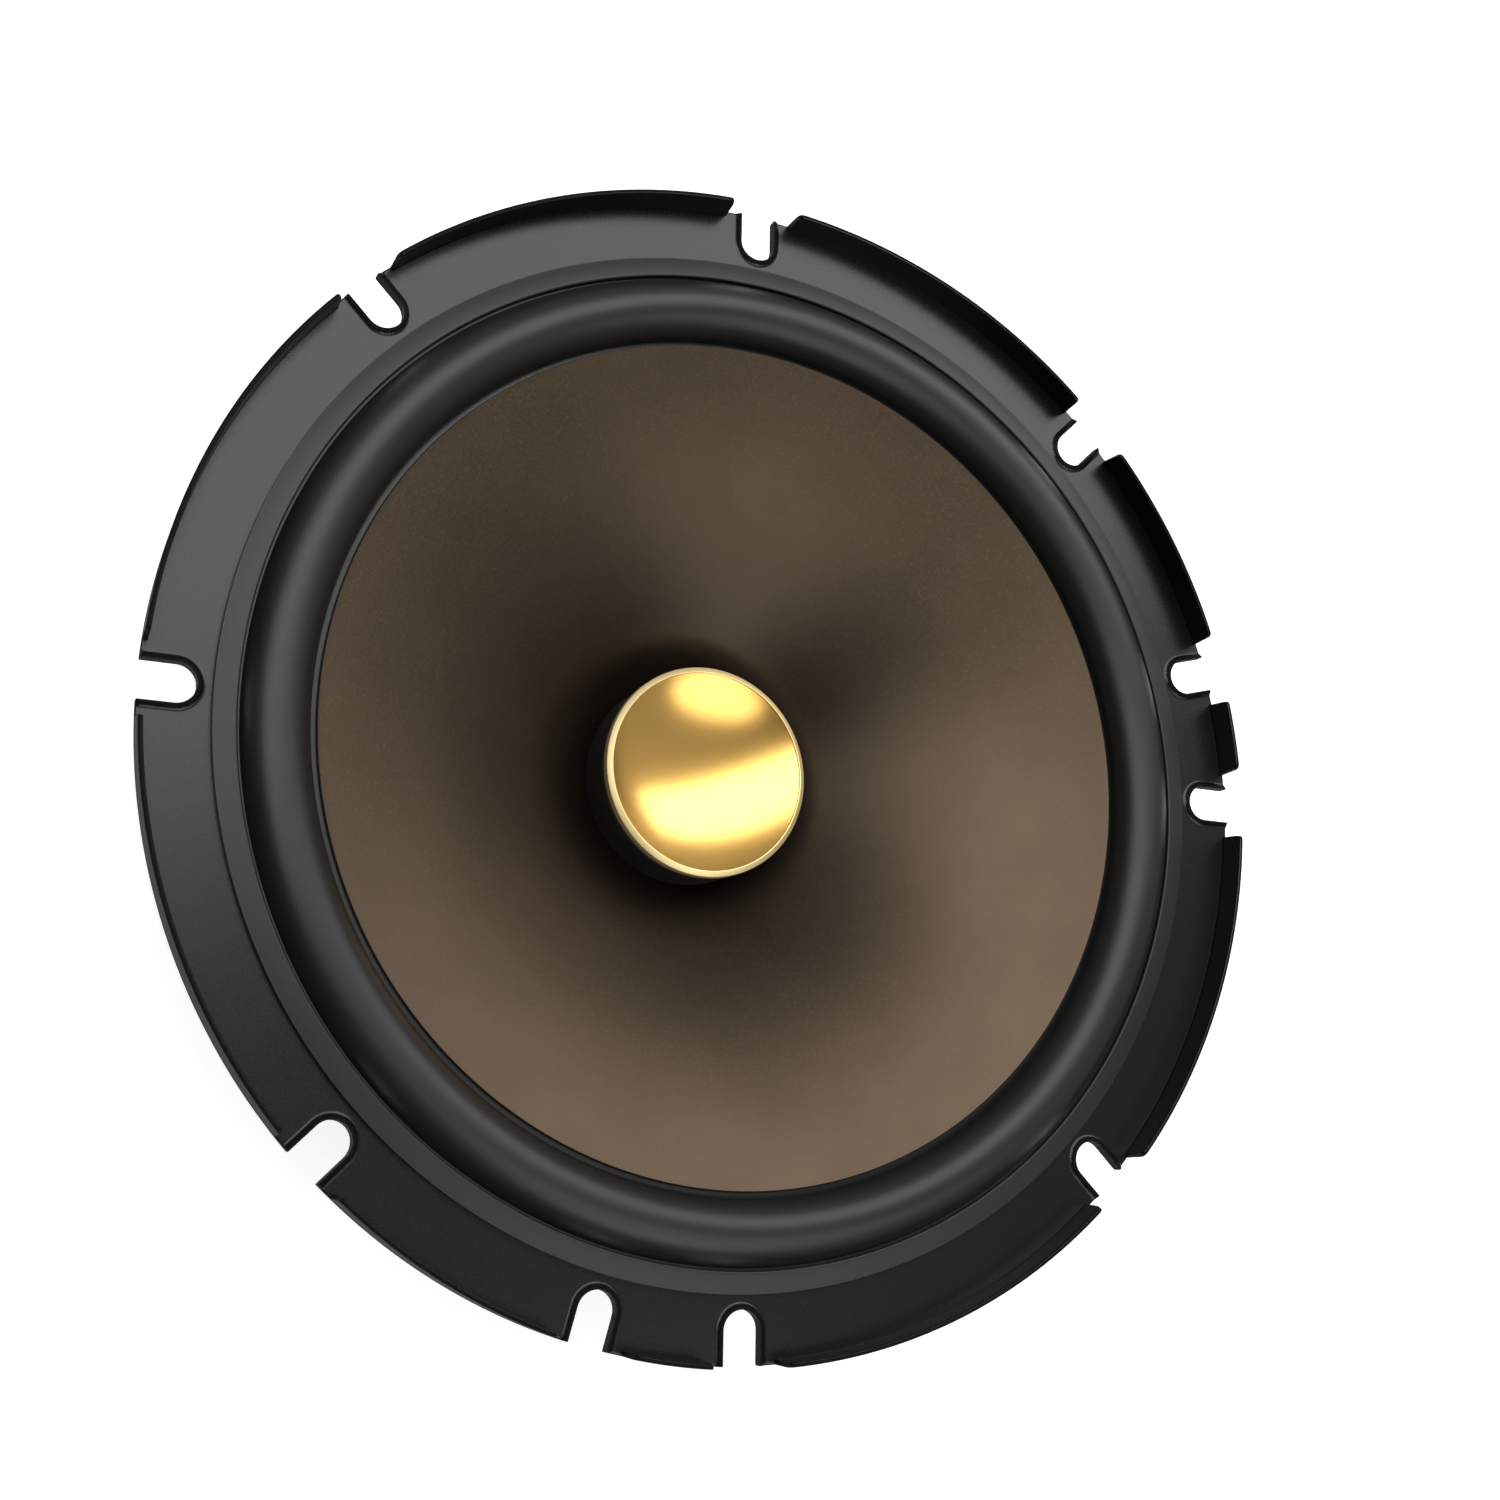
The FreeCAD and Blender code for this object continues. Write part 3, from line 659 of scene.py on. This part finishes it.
def build_gasket():
    """Clamping ring round the surround: outer step, gently sloped face, rounded inner crest."""
    base = FACE_Z + RUBBER_T
    step = FACE_Z + GASKET_STEP
    face_start = (GASKET_R - 0.08, step)
    face_end = (ROLL_OUT_R + 0.75, GASKET_TOP - 0.02)
    outer = [(GASKET_FOOT_R, FACE_Z), (GASKET_R, FACE_Z), (GASKET_R, step - 0.1)]
    edge = arc((GASKET_R, step - 0.08), (GASKET_R - 0.02, step - 0.02), face_start, 4)
    face = arc(face_start, (GASKET_MID_R, step + 0.28), face_end, 10)
    crest = arc(face_end, (ROLL_OUT_R + 0.48, GASKET_TOP - 0.1), (GASKET_IN_R, GASKET_TOP - 0.35), 6)
    foot = [(GASKET_IN_R, base), (GASKET_FOOT_R, base)]
    piece = turned("gasket", outer + edge + face[1:] + crest[1:] + foot)
    finish_piece(piece, GASKET, "gasket_rubber", "frame", "gasket_ring")


def build_surround():
    """The half roll with its two glued lands."""
    middle = (ROLL_OUT_R + ROLL_IN_R) / 2
    foot = FACE_Z + RUBBER_T
    inner_foot = LAND_TOP - 0.1
    top_start = (ROLL_OUT_R + 0.1, foot)
    top_end = (ROLL_IN_R - 0.4, inner_foot)
    under_start = (ROLL_OUT_R - RUBBER_T - 0.1, FACE_Z + 0.05)
    under_end = (ROLL_IN_R + RUBBER_T, inner_foot - RUBBER_T)
    top = arc(top_start, (middle, ROLL_TOP), top_end, ROLL_STEPS)
    under = arc(under_start, (middle, ROLL_TOP - RUBBER_T), under_end, ROLL_STEPS)
    land_r = GASKET_R - 0.45
    frame_land = [(land_r, FACE_Z + 0.02), (land_r, foot - 0.02)]
    land_low = cone_height(LAND_IN_R) - CONE_T - GLUE
    cone_land = [
        (CONE_R + 0.15, LAND_TOP + 0.02),
        (CONE_R, LAND_TOP),
        (LAND_IN_R, land_low),
        (LAND_IN_R, land_low - RUBBER_T),
    ]
    piece = turned("surround_roll", frame_land + top + cone_land + under[::-1])
    piece.data.materials.append(RUBBER)
    bend_radially(piece, ROLL_OUT_R, ROLL_IN_R)
    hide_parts("surround")


SPIDER_MID_Z = -28.7           # middle of the cloth's thickness
SPIDER_HALF_T = 0.22
WAVES = 8                      # half waves of the spider
WAVE_START = 17.0
WAVE_PITCH = 2.9
WAVE_H = 1.0
WAVE_STEPS = 12
SPIDER_BEND = (40.5, 16.5)     # radii given to bend_radially, which does not read them


def build_spider():
    """Corrugated cloth disc."""
    top = SPIDER_MID_Z + SPIDER_HALF_T
    low = SPIDER_MID_Z - SPIDER_HALF_T
    land = node_radius("spider")
    front, back = [], []
    for k in range(WAVES * WAVE_STEPS + 1):
        r = WAVE_START + WAVE_PITCH * k / WAVE_STEPS
        z = SPIDER_MID_Z - WAVE_H * math.sin(math.pi * k / WAVE_STEPS)
        front.append((r, z + SPIDER_HALF_T))
        back.append((r, z - SPIDER_HALF_T))
    front.append((land, top))
    back.append((land, low))
    collar = [
        (NECK_R + 1.2, low),
        (NECK_R, SPIDER_MID_Z),
        (NECK_R, SPIDER_MID_Z + 0.5),
        (NECK_R + 0.45, SPIDER_MID_Z + 0.5),
        (NECK_R + 0.8, top),
    ]
    piece = turned("spider_disc", front + back[::-1] + collar)
    piece.data.materials.append(SPIDER)
    bend_radially(piece, *SPIDER_BEND)
    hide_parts("spider")


# ---------------------------------------------------------------- frame, motor and terminals

FLANGE_R = 82.0
FLANGE_T = 1.2
LIP_R = 82.1
LIP_H = 4.2
LIP_FOOT_R = 81.28             # foot of the rim's inner wall
LIP_SIDE_R = 81.4              # the rim's outer side and top start at this radius
SPIGOT_R = 69.6
WALL = 1.6
SEAM_Z = -2.0                 # the pressed flange joins the lower basket here
SLOT_ANGLES = (-90, -45, -135, -30, -150, 0, 180, 45, 135, 90)
SLOT_CENTRE = 77.5
SLOT_HALF = 2.65
SLOT_REACH = 8.0               # beyond this distance inward a point is clear of a slot
COLLAR_W = 0.95                # soft raised edge round a slot
COLLAR_H = 0.5
COLLAR_CROWN = 0.12            # width of that edge's level crown
GAP_HALF = 5.0                 # half width of a break in the rim
GAP_FLARE = 0.05               # share by which the break widens to the top
END_STEPS = ((0.0, 0.80), (0.12, 0.90), (0.3, 0.96), (0.55, 0.99), (0.9, 1.0))
FACE_ROWS = 44                 # rows of faces across the flange
FACE_W = 10.0                  # width of the flange that these rows cover
SLOT_END_STEPS = 32


def flange_columns():
    """Angles of the flange's columns: fine beside each slot and coarse between them."""
    per_degree, fine_step, reach = 2, 0.1, 38
    columns = {round(k / per_degree, 3) for k in range(360 * per_degree)}
    for slot_angle in SLOT_ANGLES:
        for k in range(-reach, reach + 1):
            columns.add(round((slot_angle + k * fine_step) % 360, 3))
    return [math.radians(a) for a in sorted(columns)]


def collar_height(x, y):
    """Height of the soft raised edge round the nearest slot, at a point of the flange."""
    best = COLLAR_W
    for slot_angle in SLOT_ANGLES:
        a = math.radians(slot_angle)
        along = x * math.cos(a) + y * math.sin(a)
        across = y * math.cos(a) - x * math.sin(a)
        if along < SLOT_CENTRE - SLOT_REACH:
            continue
        past = max(0.0, SLOT_CENTRE - along)
        best = min(best, math.hypot(past, across) - SLOT_HALF)
    t = min(1.0, max(0.0, (best - COLLAR_CROWN) / (COLLAR_W - COLLAR_CROWN)))
    return COLLAR_H * (1 - t * t * (3 - 2 * t))


def flange_profile():
    """Closed profile of the flat flange and the top of the wall; the flag marks the front face."""
    inner = SPIGOT_R - WALL
    edge = 0.2
    wall = [(inner, SEAM_Z), (SPIGOT_R, SEAM_Z), (SPIGOT_R, -0.4), (SPIGOT_R + 0.12, -0.12)]
    rear = [(SPIGOT_R + 0.4, 0), (FLANGE_R - edge, 0), (FLANGE_R, edge)]
    front = [(FLANGE_R, FLANGE_T - edge), (FLANGE_R - 0.06, FLANGE_T - 0.06)]
    for k in range(FACE_ROWS + 1):
        front.append((FLANGE_R - edge - FACE_W * k / FACE_ROWS, FLANGE_T))
    corner = arc((inner + 1.2, FLANGE_T), (inner + 0.35, FLANGE_T - 0.35), (inner, FLANGE_T - 1.2), 8)
    return [(p, False) for p in wall + rear] + [(p, True) for p in front] + [(p, False) for p in corner]


def slot_cutters():
    """One closed mesh with a round-ended bar for each slot."""
    bm = bmesh.new()
    low, high = -3.0, 6.0
    outline = [(FLANGE_R + 3, -SLOT_HALF), (FLANGE_R + 3, SLOT_HALF)]
    for k in range(SLOT_END_STEPS + 1):
        b = math.pi / 2 + math.pi * k / SLOT_END_STEPS
        outline.append((SLOT_CENTRE + SLOT_HALF * math.cos(b), SLOT_HALF * math.sin(b)))
    for slot_angle in SLOT_ANGLES:
        a = math.radians(slot_angle)
        placed = []
        for x, y in outline:
            placed.append((x * math.cos(a) - y * math.sin(a), x * math.sin(a) + y * math.cos(a)))
        bottom = [bm.verts.new((x * MM, y * MM, low * MM)) for x, y in placed]
        top = [bm.verts.new((x * MM, y * MM, high * MM)) for x, y in placed]
        bm.faces.new(bottom[::-1])
        bm.faces.new(top)
        bridge(bm, bottom, top)
    bmesh.ops.recalc_face_normals(bm, faces=bm.faces)
    return new_object("slot_cutters", written(bm, "slot_cutters"))


def apply_modifiers(piece):
    """Fixes the result of a piece's modifiers in its mesh."""
    graph = bpy.context.evaluated_depsgraph_get()
    mesh = bpy.data.meshes.new_from_object(piece.evaluated_get(graph))
    piece.modifiers.clear()
    piece.data = mesh


def flange_plate():
    """The flat flange with its collars and slots."""
    columns = flange_columns()
    profile = flange_profile()
    bm = bmesh.new()
    rows = []
    for (r, z), front in profile:
        row = []
        for a in columns:
            x, y = r * math.cos(a), r * math.sin(a)
            lift = collar_height(x, y) if front else 0.0
            row.append(bm.verts.new((x * MM, y * MM, (z + lift) * MM)))
        rows.append(row)
    for i, row in enumerate(rows):
        bridge(bm, row, rows[(i + 1) % len(rows)])
    bmesh.ops.recalc_face_normals(bm, faces=bm.faces)
    plate = new_object("flange_plate", written(bm, "flange_plate"))
    cutters = slot_cutters()
    cut = plate.modifiers.new("slots", "BOOLEAN")
    cut.operation = "DIFFERENCE"
    cut.solver = "EXACT"
    cut.object = cutters
    apply_modifiers(plate)
    bpy.data.objects.remove(cutters)
    return plate


def lip_profile():
    """Closed profile of the raised rim, from its inner foot over the top to its outer foot."""
    face, top = FLANGE_T, FLANGE_T + LIP_H
    inner = [(LIP_FOOT_R, face - 0.01), (LIP_FOOT_R + 0.05, face + 0.25), (LIP_FOOT_R + 0.08, face + 0.5)]
    crown = arc((LIP_R - 0.68, top - 0.32), (LIP_R - 0.34, top), (LIP_R, top - 0.34), 12)
    outer = arc((LIP_R - 0.12, 0.6), (LIP_R - 0.3, 0.16), (LIP_R - 0.7, 0.01), 8)
    return inner + crown + outer + [(LIP_FOOT_R + 0.02, 0.01), (LIP_FOOT_R, face - 0.3)]


def lip_stations(span):
    """Places along one length of the rim: how far along, which end it's measured from, and its height."""
    middle = max(6, int(math.degrees(span) * 2))
    stations = [(s, 1, h) for s, h in END_STEPS]
    stations += [(k / middle, 0, 1.0) for k in range(1, middle)]
    stations += [(s, -1, h) for s, h in reversed(END_STEPS)]
    return stations


def lip_segment(start_angle, end_angle):
    """One length of the raised rim between two slots, with round corners at its ends."""
    profile = lip_profile()
    start = math.radians(start_angle)
    span = math.radians((end_angle - start_angle) % 360)
    end_reach = END_STEPS[-1][0]
    bm = bmesh.new()
    columns = []
    for along, end, height in lip_stations(span):
        column = []
        for r, z in profile:
            flare = 1 + GAP_FLARE * max(0.0, z - FLANGE_T) / LIP_H
            first = start + math.asin(GAP_HALF * flare / r)
            last = start + span - math.asin(GAP_HALF * flare / r)
            room = end_reach / r
            if end > 0:
                a = first + along / r
            elif end < 0:
                a = last - along / r
            else:
                a = first + room + (last - first - 2 * room) * along
            level = z if z <= FLANGE_T else FLANGE_T + (z - FLANGE_T) * height
            column.append(bm.verts.new(spot_at(r, a, level)))
        columns.append(column)
    for before, after in zip(columns, columns[1:]):
        bridge(bm, before, after)
    bm.faces.new(columns[0])
    bm.faces.new(columns[-1])
    bmesh.ops.recalc_face_normals(bm, faces=bm.faces)
    return new_object("lip", written(bm, "lip"))


def lower_basket():
    """The CAD basket below the seam, with its edges softened."""
    piece = cad_copy("lower_basket", "basket", SEAM_Z)
    soften(piece, 0.3)
    apply_modifiers(piece)
    return piece


def paint_shade_on_edges(piece):
    """The punched edge of each slot and the rim's top and outer side get a dull, near-black finish as painted
    shade.
    """
    piece.data.materials.append(SHADE_EDGE_FINISH)
    for face in piece.data.polygons:
        spot = face.center / MM
        normal = face.normal
        r = math.hypot(spot.x, spot.y)
        if spot.z < 0.02 or r < SLOT_CENTRE - 4:
            continue
        outward = (normal.x * spot.x + normal.y * spot.y) / r
        faces_out = outward > 0.5
        faces_up = spot.z > FLANGE_T + 0.3 and outward > -0.4
        on_rim_side = r > LIP_SIDE_R and (faces_out or faces_up)
        if on_rim_side or collar_height(spot.x, spot.y) > 0.35 * COLLAR_H:
            face.material_index = 1


def build_basket():
    """The pressed frame: flange, raised rim in ten lengths, and the lower basket."""
    parts = [flange_plate(), lower_basket()]
    order = sorted(a % 360 for a in SLOT_ANGLES)
    for k, angle in enumerate(order):
        parts.append(lip_segment(angle, order[(k + 1) % len(order)]))
    piece = join("basket_frame", parts)
    smooth(piece.data, 40)
    weigh_normals(piece)
    finish_piece(piece, PAINT, "frame_paint", "frame", "basket")
    paint_shade_on_edges(piece)


def build_small_piece(name, node, bevel, material, slot, body):
    """One small rigid piece that keeps its CAD shape, with softened edges."""
    finish_piece(refined(name, node, bevel), material, slot, body, node)


def build_small_pieces():
    """Terminal board, blades, rivets and solder beads."""
    build_small_piece("terminal_board", "terminal_panel", 0.15, BOARD, "panel_board", "frame")
    build_small_piece("positive_blade", "positive_terminal", 0.08, BRASS, "terminal_brass", "frame")
    build_small_piece("negative_blade", "negative_terminal", 0.08, BRASS, "terminal_brass", "frame")
    build_small_piece("motor_rivet_heads", "motor_rivets", 0.2, RIVET, "rivet_steel", "frame")
    build_small_piece("panel_rivet_heads", "panel_rivets", 0.15, RIVET, "rivet_steel", "frame")
    build_small_piece("coil_joint_beads", "coil_joints", 0.05, SOLDER, "solder", "diaphragm")


COVER_HOLE_R = 9.0
COVER_ROUND = 0.35             # rounding of the boot's corners
BAND_DEPTH = 0.4               # depth of the boot's shallow bands
REAR_BANDS = ((34.0, 31.0), (13.0, 10.0))


def build_cover():
    """Rubber boot over the magnet, with a shallow band round its side and two rings on its rear face."""
    outer = node_radius("magnet_cover")
    low = node_low("magnet_cover")
    top = node_top("magnet_cover")
    yoke_rear = node_low("back_plate")
    yoke_front = node_top("back_plate") - 0.2
    bore = node_radius("back_plate") + 0.1
    magnet_bore = node_radius("magnet") + GLUE
    profile = [
        (COVER_HOLE_R, low),
        (COVER_HOLE_R, yoke_rear),
        (bore - 1.1, yoke_rear),
        (bore, yoke_rear + 1.1),
        (bore, yoke_front),
        (magnet_bore, yoke_front),
        (magnet_bore, top),
        (outer - 0.5, top),
        (outer, top - 0.5),
        (outer, top - 2.4),
        (outer - BAND_DEPTH, top - 2.8),
        (outer - BAND_DEPTH, low + 5.2),
        (outer, low + 4.8),
        (outer, low + 3.8),
        (outer - 1.2, low + 1.0),
        (outer - 4.0, low),
    ]
    for start, end in REAR_BANDS:
        profile.append((start, low))
        profile.append((start - BAND_DEPTH, low + BAND_DEPTH))
        profile.append((end + BAND_DEPTH, low + BAND_DEPTH))
        profile.append((end, low))
    piece = turned("magnet_boot", rounded(profile, COVER_ROUND))
    finish_piece(piece, COVER, "cover_rubber", "frame", "magnet_cover")


MESH_WIRE_R = 0.11
MESH_PITCH = 0.75
MESH_WEAVE = 0.12              # how far a wire rises and falls
MESH_MARGIN = 0.35             # from the wires' ends to the screen's edge
MESH_STEPS = 8                 # points along one pitch
RIM_W = 0.6
RIM_AROUND = 96


def build_screen():
    """Woven wire disc in the mouth of the pole vent."""
    low, high = node_low("vent_screen"), node_top("vent_screen")
    radius = node_radius("vent_screen")
    mid = (low + high) / 2
    strands = []
    lines = int(radius / MESH_PITCH)
    for k in range(-lines, lines + 1):
        offset = k * MESH_PITCH
        reach = math.sqrt(max(0.0, (radius - MESH_MARGIN) ** 2 - offset ** 2))
        if reach < 1.0:
            continue
        steps = int(reach / MESH_PITCH * MESH_STEPS)
        for crosswise in (0, 1):
            path = []
            for j in range(-steps, steps + 1):
                along = reach * j / steps
                lift = MESH_WEAVE * math.cos(math.pi * along / MESH_PITCH + math.pi * (k + crosswise))
                spot = (along, offset) if crosswise else (offset, along)
                path.append((*spot, mid + lift))
            strands.append(wire("strand", path, MESH_WIRE_R))
    inner, outer = radius - RIM_W, radius - 0.05
    ring = rounded([(inner, low), (outer, low), (outer, high), (inner, high)], 0.12)
    piece = join("vent_mesh", strands + [turned("rim", ring, RIM_AROUND)])
    finish_piece(piece, SCREEN, "screen_metal", "frame", "vent_screen")


LEAD_START = (7.5, 41.6, -21.5)
LEAD_END = (5.6, 12.5, -27.4)
LEAD_STEPS = 120
LEAD_STRANDS = 5
LEAD_LAY = 0.34                # distance of a strand from the middle of the lead
LEAD_TURNS = 9
STRAND_R = 0.21
LEAD_DROP = 3.9                # first handle of the sagging line, below its start
LEAD_RISE = 1.2                # second handle, above its end


def build_lead(name, node, side):
    """A tinsel lead: strands twisted round a sagging line from the terminal to the coil joint."""
    start = Vector((side * LEAD_START[0], *LEAD_START[1:]))
    end = Vector((side * LEAD_END[0], *LEAD_END[1:]))
    run = Vector((end.x - start.x, end.y - start.y, 0))
    first_handle = start + run / 3 - AXIS * LEAD_DROP
    second_handle = end - run / 3 + AXIS * LEAD_RISE
    line = interpolate_bezier(start, first_handle, second_handle, end, LEAD_STEPS + 1)
    pieces = []
    for s in range(LEAD_STRANDS):
        path = []
        for k, centre in enumerate(line):
            a = 2 * math.pi * (LEAD_TURNS * k / LEAD_STEPS + s / LEAD_STRANDS)
            path.append((centre.x + LEAD_LAY * math.cos(a), centre.y, centre.z + LEAD_LAY * math.sin(a)))
        pieces.append(wire("strand", path, STRAND_R))
    piece = join(name, pieces)
    piece.data.materials.append(BRAID)
    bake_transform(piece)
    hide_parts(node)


def dress_inner_nodes():
    """Materials for the CAD nodes that stay as they are."""
    stay = {
        "voice_coil_former": FOIL,
        "former_wrap": PAPER,
        "voice_coil_winding": COPPER,
        "top_plate": STEEL,
        "magnet": FERRITE,
        "back_plate": STEEL,
        "pole_piece": STEEL,
        "pole_sleeve": COPPER,
    }
    for node, material in stay.items():
        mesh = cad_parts[node].data
        mesh.materials.clear()
        mesh.materials.append(material)


# ---------------------------------------------------------------- floor, light and camera

TILT = math.radians(27.36)      # between the speaker's axis and the line of sight
FAR = math.radians(-14.75)      # direction, in plan, of the side that is furthest from the camera
ROLL = math.radians(26.55)      # turn of the tilt direction in the picture, from level
DISTANCE = 0.2595               # from the camera to the aim, in metres
LENS = 44.66                    # in millimetres
FLOOR_SIZE = 12                 # in metres
FLOOR_GAP = 0.2                 # from the boot down to the floor, in millimetres
FLOOR_GLOW = 0.55
BACKDROP = 0.95                 # strength of the white behind the object

FAR_SIDE = Vector((math.cos(FAR), math.sin(FAR), 0))
ACROSS = AXIS.cross(FAR_SIDE)
AIM = Vector((0, 0, CONE_EDGE_Z * MM))


def build_floor():
    """Plain pale floor under the magnet."""
    level = cad_bounds[0].z - FLOOR_GAP * MM
    bpy.ops.mesh.primitive_plane_add(size=FLOOR_SIZE, location=(0, 0, level))
    floor = bpy.context.object
    floor.name = "floor"
    material, tree, shader = nodes_of("floor_pale")
    tone = mottled(tree, noise(tree, 3.0), (0.80, 0.80, 0.80), (0.82, 0.82, 0.82))
    tree.links.new(tone, shader.inputs["Base Color"])
    shader.inputs["Roughness"].default_value = 0.9
    shader.inputs["Emission Color"].default_value = (1, 1, 1, 1)
    shader.inputs["Emission Strength"].default_value = FLOOR_GLOW
    floor.data.materials.append(material)


def build_camera():
    """Camera on the line of sight through the aim, rolled about that line."""
    lean = math.sin(TILT)
    flat = math.cos(TILT)
    right = AXIS * (lean * math.cos(ROLL)) + FAR_SIDE * (flat * math.cos(ROLL)) - ACROSS * math.sin(ROLL)
    up = AXIS * (lean * math.sin(ROLL)) + FAR_SIDE * (flat * math.sin(ROLL)) + ACROSS * math.cos(ROLL)
    back = right.cross(up)
    camera = bpy.data.objects.new("camera", bpy.data.cameras.new("camera"))
    bpy.context.scene.collection.objects.link(camera)
    camera.data.lens = LENS
    camera.data.clip_start = 0.01
    matrix = camera.matrix_world.to_3x3()
    for row in range(3):
        matrix[row] = (right[row], up[row], back[row])
    camera.matrix_world = matrix.to_4x4()
    camera.location = AIM + back * DISTANCE
    bpy.context.scene.camera = camera


def softbox(name, far, across, height, size, radiance, turn, shape="RECTANGLE"):
    """An area light that faces down, at a place along the far, across and axis directions, in metres."""
    light = bpy.data.lights.new(name, "AREA")
    light.shape = shape
    light.size, light.size_y = size
    light.energy = radiance * math.pi * size[0] * size[1]
    holder = bpy.data.objects.new(name, light)
    bpy.context.scene.collection.objects.link(holder)
    holder.location = FAR_SIDE * far + ACROSS * across + AXIS * height
    holder.rotation_euler = (0, 0, FAR + math.radians(turn))
    holder.visible_camera = False


def build_world():
    """Soft fill, brighter from the far side, with a plain white backdrop behind the object."""
    world = bpy.data.worlds.new("studio")
    world.use_nodes = True
    tree = world.node_tree
    place = tree.nodes.new("ShaderNodeTexCoord")
    lean = tree.nodes.new("ShaderNodeVectorMath")
    lean.operation = "DOT_PRODUCT"
    lean.inputs[1].default_value = FAR_SIDE
    tree.links.new(place.outputs["Generated"], lean.inputs[0])
    near_to_far = (-0.9, 0.95)
    fill = (0.02, 0.42)
    level = remap(tree, lean.outputs["Value"], *near_to_far, *fill)
    path = tree.nodes.new("ShaderNodeLightPath")
    backdrop = tree.nodes.new("ShaderNodeMix")
    backdrop.inputs["B"].default_value = BACKDROP
    tree.links.new(path.outputs["Is Camera Ray"], backdrop.inputs["Factor"])
    tree.links.new(level, backdrop.inputs["A"])
    background = tree.nodes["Background"]
    background.inputs["Color"].default_value = (0.98, 0.985, 1.0, 1)
    tree.links.new(backdrop.outputs["Result"], background.inputs["Strength"])
    bpy.context.scene.world = world


def build_light():
    """A long key softbox overhead and two smaller ones opposite it."""
    softbox("key", 0.55, 0.28, 0.75, (2.3, 0.52), 3.8, -8)
    softbox("second", 0.06, -0.47, 0.62, (0.80, 0.34), 1.75, -42, "ELLIPSE")
    softbox("third", -0.21, -0.78, 0.62, (0.56, 0.36), 4.4, -45)
    build_world()
    bpy.context.scene.view_settings.view_transform = "Standard"


build_camera()
build_floor()
build_light()
build_cone()
build_cap()
build_collar()
build_gasket()
build_surround()
build_spider()
build_basket()
build_small_pieces()
build_cover()
build_screen()
build_lead("positive_lead", "tinsel_lead_positive", -1)
build_lead("negative_lead", "tinsel_lead_negative", 1)
dress_inner_nodes()
